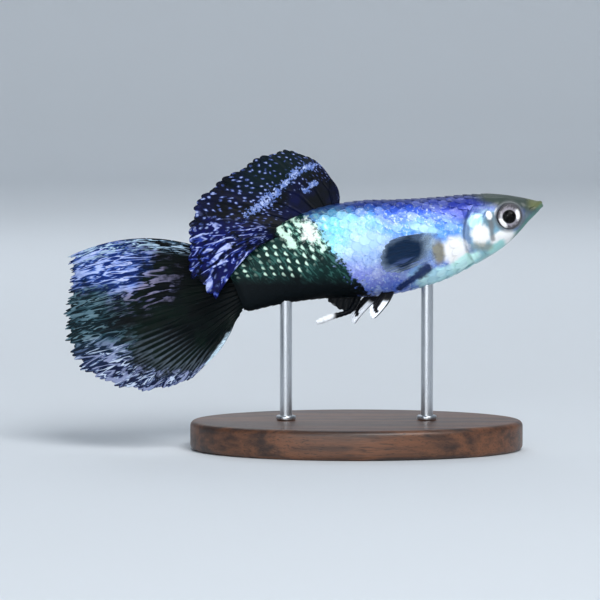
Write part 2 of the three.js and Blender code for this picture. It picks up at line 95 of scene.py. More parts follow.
soft_light("key", (0.14, -0.34, 0.36), 0.26, 2.0)
soft_light("fill", (-0.10, -0.44, 0.04), 0.34, 1.15, (0.95, 0.98, 1.0))
soft_light("rim", (-0.10, 0.34, 0.34), 0.30, 0.35, (0.94, 0.97, 1.0))
soft_light("wall", (0.0, 0.30, 0.75), 0.60, 3.0, (1.0, 1.0, 1.0), (0.0, 1.1, 0.25))

world = bpy.data.worlds.new("studio_air")
bpy.context.scene.world = world
world.use_nodes = True
world.node_tree.nodes["Background"].inputs["Color"].default_value = (0.86, 0.9, 0.95, 1.0)
world.node_tree.nodes["Background"].inputs["Strength"].default_value = 0.5
bpy.context.scene.view_settings.view_transform = "Standard"

# %% [markdown]
# ## Numbers that vary over a surface
# A pattern is arithmetic on places: how far from a line, how near a spot. In Blender that arithmetic is
# a net of Math nodes. A small class that wraps a socket lets it be written as a plain expression, and
# each operation adds its node. Everything else comes from one method that adds any kind of node.


# %% The class that wraps a socket
class Value:
    """A number that varies over a surface, with the usual arithmetic."""

    def __init__(self, paint, socket):
        self.paint = paint
        self.socket = socket

    def _math(self, operation, *others):
        node = self.paint.node("ShaderNodeMath", {"operation": operation}, self, *others)
        return Value(self.paint, node.outputs[0])

    def __add__(self, other):
        return self._math("ADD", other)

    __radd__ = __add__

    def __sub__(self, other):
        return self._math("SUBTRACT", other)

    def __rsub__(self, other):
        return (self * -1.0) + other

    def __mul__(self, other):
        return self._math("MULTIPLY", other)

    __rmul__ = __mul__

    def __truediv__(self, other):
        return self._math("DIVIDE", other)

    def __pow__(self, other):
        return self._math("POWER", other)

    def abs(self):
        return self._math("ABSOLUTE")

    def whole(self):
        """The nearest whole number."""
        return self._math("ROUND")

    def least(self, other):
        return self._math("MINIMUM", other)

    def most(self, other):
        return self._math("MAXIMUM", other)

    def rise(self, low, high):
        """0 below low, 1 above high, with a soft step between. high may be the smaller."""
        start, end = (low, high) if low < high else (high, low)
        node = self.paint.node(
            "ShaderNodeMapRange", {"interpolation_type": "SMOOTHSTEP"}, self, start, end
        )
        step = Value(self.paint, node.outputs[0])
        return step if low < high else 1.0 - step


# %% The class that makes a material
def rgb(code):
    """A colour from its usual six-figure code, as the shader's linear numbers."""
    parts = [int(code[i : i + 2], 16) / 255 for i in (0, 2, 4)]
    return [p / 12.92 if p <= 0.04045 else ((p + 0.055) / 1.055) ** 2.4 for p in parts] + [1.0]


class Paint:
    """A material under construction, with one Principled shader."""

    def __init__(self, name):
        self.material = bpy.data.materials.new(name)
        self.material.use_nodes = True
        self.tree = self.material.node_tree
        self.shader = self.tree.nodes["Principled BSDF"]

    def plug(self, socket, value):
        if isinstance(value, Value):
            value = value.socket
        if isinstance(value, bpy.types.NodeSocket):
            self.tree.links.new(value, socket)
        else:
            socket.default_value = value

    def node(self, kind, settings=None, *inputs, **named):
        """Any node: its type, its settings, and the values or links of its sockets."""
        made = self.tree.nodes.new(kind)
        for key, value in (settings or {}).items():
            setattr(made, key, value)
        for socket, value in zip(made.inputs, inputs):
            self.plug(socket, value)
        for key, value in named.items():
            self.plug(made.inputs[key.replace("_", " ")], value)
        return made

    def set(self, **values):
        """Sets sockets of the shader by their names."""
        for key, value in values.items():
            self.plug(self.shader.inputs[key.replace("_", " ")], value)

    def place(self):
        """x, y and z in millimetres, and the vector itself."""
        spot = self.node("ShaderNodeTexCoord").outputs["Object"]
        grown = self.node("ShaderNodeVectorMath", {"operation": "SCALE"}, spot, Scale=1 / MM)
        axes = self.node("ShaderNodeSeparateXYZ", None, grown.outputs[0])
        return [Value(self, s) for s in axes.outputs] + [grown.outputs[0]]

    def map(self, name):
        """The two numbers of a UV map."""
        found = self.node("ShaderNodeUVMap", {"uv_map": name})
        axes = self.node("ShaderNodeSeparateXYZ", None, found.outputs[0])
        return Value(self, axes.outputs[0]), Value(self, axes.outputs[1])

    def tone(self, name):
        """A number stored on the mesh."""
        found = self.node("ShaderNodeAttribute", {"attribute_name": name})
        return Value(self, found.outputs["Fac"])

    def spot_at(self, x, y, z=0.0):
        return self.node("ShaderNodeCombineXYZ", None, x, y, z).outputs[0]

    def noise(self, vector, scale, detail=3.0, rough=0.5, warp=0.0, dimensions="3D"):
        made = self.node(
            "ShaderNodeTexNoise", {"noise_dimensions": dimensions}, Vector=vector, Scale=scale,
            Detail=detail, Roughness=rough, Distortion=warp,
        )
        return Value(self, made.outputs[0])

    def uneven(self, vector, scale, detail=3.0, rough=0.6):
        """Noise on both sides of zero, which roughens an edge when it is added to a distance."""
        return self.noise(vector, scale, detail, rough) - 0.5

    def cells(self, vector, scale, scatter=1.0, dimensions="3D"):
        """Distance to the nearest of many scattered points."""
        made = self.node(
            "ShaderNodeTexVoronoi", {"feature": "F1", "voronoi_dimensions": dimensions},
            Vector=vector, Scale=scale, Randomness=scatter,
        )
        return Value(self, made.outputs["Distance"])

    def mix(self, first, second, share):
        """One colour turning into another."""
        made = self.node("ShaderNodeMix", {"data_type": "RGBA"})
        for socket, value in ((made.inputs[0], share), (made.inputs[6], first), (made.inputs[7], second)):
            self.plug(socket, value)
        return made.outputs[2]

    def over(self, colour, *coats):
        """Coats of paint over a colour. Each coat is a colour's code and where it covers."""
        colour = rgb(colour) if isinstance(colour, str) else colour
        for code, share in coats:
            colour = self.mix(colour, rgb(code), share)
        return colour

    def bump(self, height, distance, strength=1.0):
        """A normal from a height. The distance is in millimetres."""
        named = {"Height": height, "Distance": distance * MM, "Strength": strength}
        return self.node("ShaderNodeBump", None, **named).outputs[0]


# %% [markdown]
# ## The backdrop
# One flat disc of floor, whose edge is pulled up and out a few times in edit mode, because a flat floor
# would end in a hard horizon behind a camera this low.

# %% Backdrop
FLOOR_RADIUS = 0.9  # metres
RIM_STEPS = ((0.02, 1.12), (0.08, 1.1), (0.16, 1.06), (0.3, 1.03), (0.4, 1.0))  # lift in metres, and spread

bpy.ops.mesh.primitive_circle_add(vertices=96, radius=FLOOR_RADIUS, fill_type="NGON")
backdrop = bpy.context.object
backdrop.name = "backdrop"
bpy.ops.object.mode_set(mode="EDIT")
bpy.ops.mesh.select_all(action="SELECT")
for lift, spread in RIM_STEPS:
    bpy.ops.mesh.extrude_region_move(TRANSFORM_OT_translate={"value": (0.0, 0.0, lift)})
    bpy.ops.transform.resize(value=(spread, spread, 1.0))
    bpy.ops.mesh.select_mode(type="EDGE")
bpy.ops.object.mode_set(mode="OBJECT")
bpy.ops.object.shade_smooth()

paint = Paint("pale_floor")
paint.set(Base_Color=rgb("D6DCE2"), Roughness=0.8)
backdrop.data.materials.append(paint.material)
print("backdrop", len(backdrop.data.polygons), "faces")

# %% [markdown]
# ## The shape of the body
# A fish's body is a row of sections strung on a bent line. The tables say where that line runs, and how
# tall, deep, wide and square each section is. Curves through the tables then give any point of the skin:
# how far along the body it is, and what share of the way round, from the back over the right side.

# %% Line and sections
SPINE = np.array([
    (18.67, 0, 25.07), (14.48, 0, 23.44), (8.36, 0, 21.6), (4.28, 0, 20.79),
    (0.2, 0, 20.28), (-5.92, -0.15, 19.05), (-10.0, -0.45, 17.73), (-12.44, -0.7, 16.71),
])
SECTIONS = np.array([  # share of length, up, down, half width, squareness above and below
    (0.0, 0.3, 0.34, 0.7, 2.2, 2.0), (0.012, 0.56, 0.6, 1.04, 2.3, 2.0),
    (0.03, 0.98, 0.86, 1.28, 2.5, 2.0), (0.055, 1.5, 1.2, 1.56, 2.6, 2.0),
    (0.09, 2.15, 1.8, 1.92, 2.7, 2.0), (0.14, 2.86, 2.6, 2.28, 2.7, 2.0),
    (0.2, 3.42, 3.2, 2.55, 2.5, 1.95), (0.27, 3.88, 3.72, 2.72, 2.3, 1.9),
    (0.36, 4.36, 4.32, 2.82, 2.15, 1.95), (0.48, 4.84, 4.74, 2.82, 2.0, 2.05),
    (0.58, 5.1, 4.76, 2.6, 1.95, 2.05), (0.7, 5.02, 4.24, 2.18, 1.95, 2.0),
    (0.82, 4.24, 3.74, 1.66, 2.0, 2.0), (0.92, 3.3, 3.28, 1.22, 2.0, 2.0),
    (0.985, 2.76, 2.94, 0.86, 2.0, 2.0), (1.0, 2.45, 2.62, 0.5, 2.0, 2.0),
])
BODY_LENGTH = 32.3


def smooth_line(points, pieces=60):
    """Points along a smooth curve through a few points, and how far along its length each one is."""
    ends = np.vstack([2 * points[0] - points[1], points, 2 * points[-1] - points[-2]])
    t = np.linspace(0, 1, pieces, endpoint=False)[:, None]
    runs = []
    for p0, p1, p2, p3 in zip(ends, ends[1:], ends[2:], ends[3:]):
        d0, d1, d2 = (np.linalg.norm(b - a) ** 0.5 for a, b in ((p0, p1), (p1, p2), (p2, p3)))
        leave = ((p1 - p0) / d0 - (p2 - p0) / (d0 + d1) + (p2 - p1) / d1) * d1
        arrive = ((p2 - p1) / d1 - (p3 - p1) / (d1 + d2) + (p3 - p2) / d2) * d1
        bend = 3 * (p2 - p1) - 2 * leave - arrive
        runs.append(p1 + leave * t + bend * t**2 + (2 * (p1 - p2) + leave + arrive) * t**3)
    line = np.vstack(runs + [points[-1:]])
    steps = np.linalg.norm(np.diff(line, axis=0), axis=1)
    share = np.concatenate([[0], np.cumsum(steps)]) / steps.sum()
    return line, share


def follow(keys, values, where):
    """A smooth curve through a column of a table."""
    keys, values, where = (np.asarray(a, dtype=float) for a in (keys, values, where))
    n = len(keys)
    before = np.maximum(np.arange(n) - 1, 0)
    after = np.minimum(np.arange(n) + 1, n - 1)
    slopes = (values[after] - values[before]) / (keys[after] - keys[before])
    i = np.clip(np.searchsorted(keys, where, "left") - 1, 0, n - 2)
    span = keys[i + 1] - keys[i]
    t = np.clip((where - keys[i]) / span, 0, 1)
    return (
        (2 * t**3 - 3 * t**2 + 1) * values[i]
        + (t**3 - 2 * t**2 + t) * span * slopes[i]
        + (3 * t**2 - 2 * t**3) * values[i + 1]
        + (t**3 - t**2) * span * slopes[i + 1]
    )


def ease(t):
    """0 to 1 with soft ends."""
    t = np.clip(t, 0, 1)
    return t * t * (3 - 2 * t)


spine_line, spine_share = smooth_line(SPINE)
print("spine", round(float(np.linalg.norm(np.diff(spine_line, axis=0), axis=1).sum()), 2), "mm long")

# %% [markdown]
# The skin is a table of points: rows run from snout to tail, closer together on the head, and each row is
# evenly spaced round its section. Evenly spaced matters, because the scales are laid on this table later.

# %% Table of the plain body
ROWS = 340
ROUND = 168
CROWD = 1.45  # how much closer the rows are at the snout
NOSE_ROWS = 12
NOSE_BULGE = 0.26
NOSE_SHARE = NOSE_BULGE / BODY_LENGTH
RING_STEPS = 720  # points round a section, before they are spaced evenly
AIM_STEP = 0.004  # share of length on each side of a section that gives its direction


def spine_at(share):
    return np.array([np.interp(share, spine_share, spine_line[:, k]) for k in range(3)])


def plain_section(at):
    """One section of the body, evenly spaced from the back over the right side and round again."""
    inside = min(max(at, 0.0), 1.0)
    centre = spine_at(inside)
    back = spine_at(inside + AIM_STEP) - spine_at(inside - AIM_STEP)
    back /= np.linalg.norm(back)
    left = np.cross(back, (0, 0, 1))
    left /= np.linalg.norm(left)
    up_way = np.cross(left, back)
    up, down, half, square_up, square_down = (
        float(follow(SECTIONS[:, 0], SECTIONS[:, k], inside)) for k in range(1, 6)
    )
    turn = math.pi / 2 + np.linspace(0, 2 * math.pi, RING_STEPS)
    c, s = np.cos(turn), np.sin(turn)
    power = 2 / np.where(s > 0, square_up, square_down)
    across = np.sign(c) * np.abs(c) ** power * half
    tall = np.sign(s) * np.abs(s) ** power * np.where(s > 0, up, down)
    # Ahead of the first section the snout closes like a small dome
    dome = math.sqrt(max(0.0, 1 - (at / NOSE_SHARE) ** 2)) if at < 0 else 1.0
    centre = centre + back * min(at, 0.0) * BODY_LENGTH
    ring = centre + left * (across * dome)[:, None] + up_way * (tall * dome)[:, None]
    steps = np.concatenate([[0], np.cumsum(np.linalg.norm(np.diff(ring, axis=0), axis=1))])
    even = np.linspace(0, steps[-1], ROUND + 1)
    return np.stack([np.interp(even, steps, ring[:, k]) for k in range(3)], axis=1)


nose_at = -NOSE_SHARE * np.cos(np.linspace(0.02, math.pi / 2, NOSE_ROWS, endpoint=False))
body_at = np.concatenate([nose_at, np.linspace(0, 1, ROWS - NOSE_ROWS + 1) ** CROWD])
body = np.stack([plain_section(at) for at in body_at])


def outward_of(table):
    """The outward direction at each point of a table of points."""
    along = np.gradient(table, axis=0)
    wrapped = np.concatenate([table[:, -2:-1], table, table[:, 1:2]], axis=1)
    around = (wrapped[:, 2:] - wrapped[:, :-2]) / 2
    way = np.cross(around, along)
    way /= np.maximum(np.linalg.norm(way, axis=2, keepdims=True), 1e-9)
    middle = table.mean(axis=1, keepdims=True)
    return way * np.sign(((table - middle) * way).sum())


body_out = outward_of(body)
print("body table", body.shape, "from", body.min(axis=(0, 1)).round(2), "to", body.max(axis=(0, 1)).round(2))

# %% [markdown]
# ## Relief of the head
# The head isn't a plain cone: the eyes sit in sockets with a thin rim, the gill covers are plates with a
# free rear edge, and the mouth is a small upturned slit between two lips. Each of these is a height that
# is added along the outward direction, worked out from the distance to a point, an arc or a line.

# %% Eyes, gill covers, lips and nostrils as heights
EYE = np.array([15.38, 23.88])
EYE_RADIUS = 1.26
EYE_DEPTH = 0.95
EYE_SIDE = 1.62
GILL = np.array([15.5, 22.25])
GILL_RADIUS = 4.75
SOCKET_DEPTH = 1.25
EYE_RIMS = ((0.08, 0.2, 0.16), (0.06, 0.75, 0.5))  # height, distance from the eye and width
COVER_HEIGHT = 0.25
COVER_LINES = ((0.07, 3.35, 0.1), (0.05, 4.25, 0.08))  # depth, distance from the gill's centre and width
NOSTRIL_RIM = (0.03, 0.17, 0.06)  # height, radius and width
NOSTRIL_PIT = (0.2, 0.1)  # depth and width
COAT = 0.1  # how far the skin lies under the scales


def lip_line(front, side, corner):
    """A smooth line round the snout, from one corner of the mouth to the other."""
    half = [(corner[0], -corner[1], corner[2]), (side[0], -side[1], side[2]), (front[0], 0, front[1])]
    mirrored = [(x, -y, z) for x, y, z in reversed(half[:2])]
    return smooth_line(np.array(half + mirrored), 24)[0]


MOUTH_LINES = {
    "upper lip": (lip_line((18.74, 25.33), (18.2, 0.78, 25.18), (17.6, 1.3, 24.75)), 0.04, 0.2),
    "lower lip": (lip_line((18.78, 24.9), (18.26, 0.8, 24.72), (17.6, 1.3, 24.42)), 0.08, 0.21),
    "slit": (lip_line((18.9, 25.12), (18.32, 0.82, 24.96), (17.55, 1.34, 24.6)), -0.26, 0.085),
}
NOSTRILS = [(17.25, 1.0, 25.5), (16.8, 1.24, 25.56)]


def near_line(table, line):
    """Distance from each point of a table to a line of points."""
    gaps = table[:, :, None, :] - line[None, None, :, :]
    return np.sqrt((gaps**2).sum(axis=3).min(axis=2))


def bell(distance, width):
    return np.exp(-((distance / width) ** 2))


x, y, z = (body[..., k] for k in range(3))
sideways = ease(np.abs(y) / 1.3)
from_eye = np.hypot(x - EYE[0], z - EYE[1])
from_gill = np.hypot(x - GILL[0], z - GILL[1])
on_cover = ease((24.9 - z) / 1.3) * ease((np.abs(y) - 0.5) / 1.0) * ease((GILL[0] - x) / 1.2)

height = np.zeros(x.shape)
height -= SOCKET_DEPTH * ease((EYE_RADIUS + 0.1 - from_eye) / 0.4) * sideways
for tall, away, wide in EYE_RIMS:
    height += tall * bell(from_eye - EYE_RADIUS - away, wide) * sideways
cover = ease((from_gill - 2.1) / 1.1) * (1 - ease((from_gill - GILL_RADIUS + 0.1) / 0.13))
height += COVER_HEIGHT * cover * on_cover
for deep, away, wide in COVER_LINES:
    height -= deep * bell(from_gill - away, wide) * on_cover * sideways

snout = int(np.searchsorted(body_at, 0.075))
for line, tall, wide in MOUTH_LINES.values():
    height[:snout] += tall * bell(near_line(body[:snout], line), wide)
rim_height, rim_radius, rim_width = NOSTRIL_RIM
for spot in NOSTRILS:
    for sign in (-1, 1):
        away = near_line(body[: 2 * snout], np.array([[spot[0], sign * spot[1], spot[2]]]))
        rim = rim_height * bell(away - rim_radius, rim_width)
        height[: 2 * snout] += rim - NOSTRIL_PIT[0] * bell(away, NOSTRIL_PIT[1])

behind_cover = ease((from_gill - GILL_RADIUS + 0.05) / 0.1) * ease((GILL[0] - x) / 0.6)
scaled = np.maximum(behind_cover, ease((body_at[:, None] - 0.16) / 0.02) * ease((z - 24.9) / 0.4))
height -= COAT * scaled
skin_table = body + body_out * height[..., None]
print("relief from", round(float(height.min()), 2), "to", round(float(height.max()), 2), "mm")

# %% [markdown]
# ## From a table to a mesh
# The skin and the fins are all bent sheets. Each one starts as a grid primitive, whose points are then
# moved to their places, so it comes with a tidy UV map. A fish could also be sculpted from a ball, but
# then nothing would say where on the body a place is, and the scales and markings need that.


# %% Helpers that place and finish a sheet
WELD_GAP = 0.004


def clear_selection():
    for thing in bpy.context.selected_objects:
        thing.select_set(False)


def select_only(piece):
    clear_selection()
    bpy.context.view_layer.objects.active = piece
    piece.select_set(True)


def apply_modifier(kind, **settings):
    """Gives the active piece a modifier and applies it."""
    bpy.ops.object.modifier_add(type=kind)
    modifier = bpy.context.object.modifiers[-1]
    for key, value in settings.items():
        setattr(modifier, key, value)
    bpy.ops.object.modifier_apply(modifier=modifier.name)


def grid_piece(name, columns, rows, map_name):
    """A grid whose points have two shares from 0 to 1. Returns it with those shares."""
    clear_selection()
    bpy.ops.mesh.primitive_grid_add(x_subdivisions=columns, y_subdivisions=rows, size=1.0)
    piece = bpy.context.object
    piece.name = name
    piece.data.name = name
    piece.data.uv_layers[0].name = map_name
    flat = np.empty(len(piece.data.vertices) * 3)
    piece.data.vertices.foreach_get("co", flat)
    flat = flat.reshape(-1, 3)
    return piece, np.clip(flat[:, 0] + 0.5, 0, 1), np.clip(flat[:, 1] + 0.5, 0, 1)


def place_points(piece, points):
    """Moves a mesh's points to places in millimetres."""
    piece.data.vertices.foreach_set("co", (np.asarray(points) * MM).ravel())
    piece.data.update()


def store_map(piece, name, u, v):
    """A UV map from two numbers at each point."""
    layer = piece.data.uv_layers.get(name) or piece.data.uv_layers.new(name=name)
    corner = np.empty(len(piece.data.loops), dtype=int)
    piece.data.loops.foreach_get("vertex_index", corner)
    layer.data.foreach_set("uv", np.stack([u[corner], v[corner]], axis=1).ravel())


def store_tone(piece, name, numbers):
    """A number at each point."""
    held = piece.data.attributes.new(name=name, type="FLOAT", domain="POINT")
    held.data.foreach_set("value", np.asarray(numbers, dtype=np.float32))


def edit_all(piece, *steps):
    """Runs edit-mode operators on the whole of a piece."""
    select_only(piece)
    bpy.ops.object.mode_set(mode="EDIT")
    bpy.ops.mesh.select_mode(type="VERT")
    bpy.ops.mesh.select_all(action="SELECT")
    for step in steps:
        step()
    bpy.ops.object.mode_set(mode="OBJECT")


def weld():
    bpy.ops.mesh.remove_doubles(threshold=WELD_GAP * MM)


def face_out():
    bpy.ops.mesh.normals_make_consistent(inside=False)


def finish_piece(piece, *steps):
    """Runs the steps, then turns the faces outwards and smooths the shading."""
    edit_all(piece, *steps, face_out)
    bpy.ops.object.shade_smooth()


def settle(piece, material, slot, *nodes):
    """Gives a finished piece its material, hides the parts it stands for and parents it to the root."""
    piece.data.materials.clear()
    piece.data.materials.append(material)
    if nodes:
        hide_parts(*nodes)
    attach(piece, "root")
    low, high = (np.array(corner) / MM for corner in (piece.bound_box[0], piece.bound_box[6]))
    print(f"{piece.name}: {len(piece.data.polygons)} faces, {low.round(1)} to {high.round(1)}")


def between(table, at, share):
    """A point of a body table at any place along the body and round it."""
    row = np.interp(at, body_at, np.arange(len(body_at)))
    column = (share % 1.0) * ROUND
    i = np.clip(row.astype(int), 0, len(body_at) - 2)
    j = np.clip(column.astype(int), 0, ROUND - 1)
    s = (row - i)[..., None]
    t = (column - j)[..., None]
    top = table[i, j] * (1 - t) + table[i, j + 1] * t
    low = table[i + 1, j] * (1 - t) + table[i + 1, j + 1] * t
    return top * (1 - s) + low * s


# %% Skin
skin, round_share, row_share = grid_piece("skin", ROUND, ROWS, "lie")
row = np.rint(row_share * ROWS).astype(int)
column = np.rint(round_share * ROUND).astype(int)
place_points(skin, skin_table[row, column])
store_map(skin, "lie", body_at[row], round_share)


def close_tail():
    """Caps the open end inside the root of the tail fin."""
    bpy.ops.mesh.select_all(action="DESELECT")
    bpy.ops.mesh.select_non_manifold()
    bpy.ops.mesh.edge_face_add()
    bpy.ops.mesh.select_all(action="SELECT")


finish_piece(skin, weld, close_tail)

# %% [markdown]
# ## Fins
# A fin is a fan of bony rays with a thin web between them. Each ray is one stem at its root, splits in two
# part of the way out, and splits again. The fan's shape is a table of rays: where each starts, where it
# ends, and how it bows between. One grid makes the middle of the web. Solidify then gives it thickness, and
# a vertex group makes it thick along the rays and thin between them, so the rays stand out on both faces.


# %% A fan from a table of rays
FORK_SPREAD = 0.25  # how far the first two branches of a ray part, over the spacing of the rays
FORK_REACH = 0.14  # share of the way out over which they part
THICK_LEVELS = 60


def off_whole(number):
    """Distance to the nearest whole number."""
    return np.abs(number - np.rint(number))


def still(across, out):
    return 0.0


def fan(rays_table, across, out, sway):
    """Points of a fan. Each row of the table is: share across, root, tip and bow."""
    keys = [row[0] for row in rays_table]
    root, tip, bow = (
        np.stack([follow(keys, [row[k][axis] for row in rays_table], across) for axis in range(3)], axis=1)
        for k in (1, 2, 3)
    )
    reach_out = out[:, None]
    points = root + (tip - root) * reach_out + bow * 4 * reach_out * (1 - reach_out)
    points[:, 1] += sway(across, out)
    return points


def ray_ridges(across, out, rays, forks, narrow=0.1):
    """1 on a ray, 0 on the web. The rays fork at the given shares of the way out."""
    offset = off_whole(across * (rays - 1))
    apart = FORK_SPREAD
    for fork in forks:
        offset = np.abs(offset - apart * ease((out - fork) / FORK_REACH))
        apart /= 2
    width = narrow * (1.35 - 0.55 * out)
    return np.clip(1 - (offset / width) ** 2, 0, 1)


def ragged(across, rays, depth, seed):
    """How far out the web reaches at each place across: a little less between rays, and uneven."""
    draw = np.random.default_rng(seed)
    tips = 4 * (rays - 1)
    lengths = np.interp(across * tips, np.arange(tips + 1), draw.uniform(-1, 1, tips + 1))
    small = off_whole(across * tips) * 2
    big = off_whole(across * (rays - 1)) * 2
    return 1 - depth * (0.35 * small**2 + 0.45 * big**2 + 0.3 * (lengths + 1) / 2)


def make_fin(
    name, table, rays, columns_per_ray, rows, forks, depth, seed, web, ray_height, flutter=0.05, sway=still
):
    """A whole fin, with its map: u across the fan, v along the rays.

    depth says how ragged the rim is, web and ray_height how thick the fin is at its root.
    """
    fin, across, out = grid_piece(name, (rays - 1) * columns_per_ray, rows, "rays")
    store_map(fin, "rays", across, out)
    points = fan(table, across, out * ragged(across, rays, depth, seed), sway)
    points[:, 1] += flutter * out * np.sin(across * (rays - 1) * 2 * math.pi)
    place_points(fin, points)
    ridge = ray_ridges(across, out, rays, forks)
    store_tone(fin, "ridge", ridge)
    thick = web * (1.15 - 0.65 * out) + ray_height * ridge * (1 - 0.72 * out)
    most = float(thick.max())
    group = fin.vertex_groups.new(name="thick")
    levels = np.rint(thick / most * THICK_LEVELS).astype(int)
    for level in np.unique(levels):
        members = np.flatnonzero(levels == level).tolist()
        group.add(members, max(level / THICK_LEVELS, 0.02), "REPLACE")
    select_only(fin)
    apply_modifier("SOLIDIFY", thickness=most * MM, offset=0.0, vertex_group=group.name)
    finish_piece(fin)
    return fin


# %% [markdown]
# The tail is the widest fan: its lower half curls towards the camera. The dorsal fin is a tall flag whose
# last rays fall over the right flank. Both wave a little at the rim, which a sway across the rays gives.

# %% Tail and dorsal fin
TAIL_TABLE = [
    (0.0, (-11.3, -0.62, 18.5), (-29.6, 1.1, 19.55), (0, 0.2, 2.5)),
    (0.2, (-11.1, -0.65, 17.9), (-29.6, 0.7, 17.0), (0, 0.1, 1.4)),
    (0.45, (-11.1, -0.66, 16.9), (-30.0, -0.7, 12.3), (0, -0.1, 0.3)),
    (0.62, (-11.2, -0.66, 16.0), (-28.2, -2.2, 8.4), (0, -0.3, -0.4)),
    (0.8, (-11.4, -0.66, 15.0), (-22.2, -3.6, 6.3), (-0.5, -0.6, -0.5)),
    (0.92, (-11.7, -0.68, 14.4), (-17.2, -4.2, 7.3), (-0.6, -0.6, -0.4)),
    (1.0, (-12.0, -0.7, 14.0), (-14.8, -4.2, 9.6), (0.1, -0.4, -0.5)),
]
tail_fin = make_fin(
    "tail_fin_web", TAIL_TABLE, rays=17, columns_per_ray=18, rows=110, forks=(0.3, 0.58), depth=0.075,
    seed=11, web=0.16, ray_height=0.17,
    sway=lambda across, out: 0.5 * out**2 * np.sin(across * 4.6 * math.pi + 0.5),
)

DORSAL_TABLE = [
    (0.0, (-1.9, 0, 24.6), (-2.6, 0.2, 27.5), (0.45, 0, 0.2)),
    (0.12, (-2.3, 0, 24.4), (-4.2, 0.4, 29.5), (0.3, 0, 0.2)),
    (0.26, (-2.9, 0, 24.1), (-7.6, 0.6, 30.6), (0.2, 0.1, 0.3)),
    (0.42, (-3.8, -0.02, 23.6), (-11.6, 0.4, 29.1), (0, 0.1, 0.3)),
    (0.62, (-5.0, -0.08, 23.0), (-16.3, -0.6, 25.5), (0, 0, 0.3)),
    (0.78, (-5.9, -0.12, 22.6), (-17.3, -1.8, 21.4), (0, -0.3, 0.5)),
    (0.9, (-6.4, -0.15, 22.3), (-16.9, -2.8, 17.8), (0, -0.7, 1.0)),
    (1.0, (-6.8, -0.18, 22.0), (-14.3, -3.3, 15.5), (-0.2, -1.0, 1.5)),
]
dorsal_fin = make_fin(
    "dorsal_fin_web", DORSAL_TABLE, rays=9, columns_per_ray=24, rows=90, forks=(0.34, 0.62), depth=0.07,
    seed=5, web=0.15, ray_height=0.15, sway=lambda across, out: 0.4 * out**2 * np.sin(across * 3.6 * math.pi),
)

# %% [markdown]
# The small fins: a pair of clear paddles behind the gill covers, a pair of short blades under the belly,
# and the anal fin, which a male's body draws out into a rod with a little web at its root.

# %% Pectoral and pelvic fins
PECTORAL_TABLE = [
    (0.0, (9.2, 1.9, 21.7), (6.2, 4.3, 22.2), (0, 0.1, 0.3)),
    (0.25, (9.1, 1.9, 21.45), (3.4, 5.3, 21.7), (0, 0.1, 0.3)),
    (0.5, (9.0, 1.9, 21.1), (2.3, 5.5, 20.2), (0, 0.15, 0.2)),
    (0.75, (9.0, 1.9, 20.7), (2.5, 5.1, 18.6), (0, 0.2, 0)),
    (1.0, (9.1, 1.9, 20.3), (4.0, 4.4, 18.3), (0, 0.2, -0.1)),
]
PELVIC_TABLES = {
    "right": [
        (0.0, (3.9, -0.85, 16.4), (1.75, -2.5, 13.55), (0.2, -0.1, -0.1)),
        (0.5, (3.4, -0.8, 16.4), (1.35, -2.35, 13.6), (0, -0.1, 0)),
        (1.0, (2.9, -0.75, 16.5), (1.2, -2.2, 14.5), (0, -0.1, 0.1)),
    ],
    "left": [
        (0.0, (3.6, 0.85, 16.5), (-0.15, 1.75, 12.65), (-0.5, 0.1, -0.2)),
        (0.5, (2.9, 0.8, 16.5), (-0.6, 1.65, 12.9), (-0.4, 0.1, 0)),
        (1.0, (2.2, 0.75, 16.5), (-0.55, 1.6, 13.9), (-0.2, 0.1, 0.1)),
    ],
}


def mirrored_table(table):
    """The same fan on the fish's other side."""
    return [(row[0], *((point[0], -point[1], point[2]) for point in row[1:])) for row in table]


paired_fins = {}
for side, table in (("right", mirrored_table(PECTORAL_TABLE)), ("left", PECTORAL_TABLE)):
    paired_fins[f"pectoral_fin_{side}"] = make_fin(
        f"pectoral_{side}_web", table, rays=12, columns_per_ray=12, rows=44, forks=(0.4, 0.7), depth=0.05,
        seed=21, web=0.1, ray_height=0.09, flutter=0.03,
    )
for side, table in PELVIC_TABLES.items():
    paired_fins[f"pelvic_fin_{side}"] = make_fin(
        f"pelvic_{side}_web", table, rays=6, columns_per_ray=12, rows=36, forks=(0.5,), depth=0.12,
        seed=31, web=0.12, ray_height=0.16, flutter=0.04,
    )

# %% Anal fin
ANAL_TABLE = [
    (0.0, (0.4, -0.05, 16.6), (0.0, -0.08, 14.3), (0, 0, 0)),
    (0.5, (-0.9, -0.06, 16.6), (-1.5, -0.1, 14.15), (0, 0, 0)),
    (1.0, (-2.3, -0.08, 16.6), (-2.9, -0.12, 15.1), (-0.2, 0, 0)),
]
ANAL_ROD = np.array([
    (0.3, -0.05, 16.6), (0.0, -0.05, 15.2), (-0.6, -0.08, 14.25), (-1.5, -0.12, 13.85),
    (-2.5, -0.16, 13.6), (-3.3, -0.2, 13.3), (-4.15, -0.22, 12.98),
])
ANAL_RADII = [0.44, 0.36, 0.29, 0.26, 0.3, 0.33, 0.22]


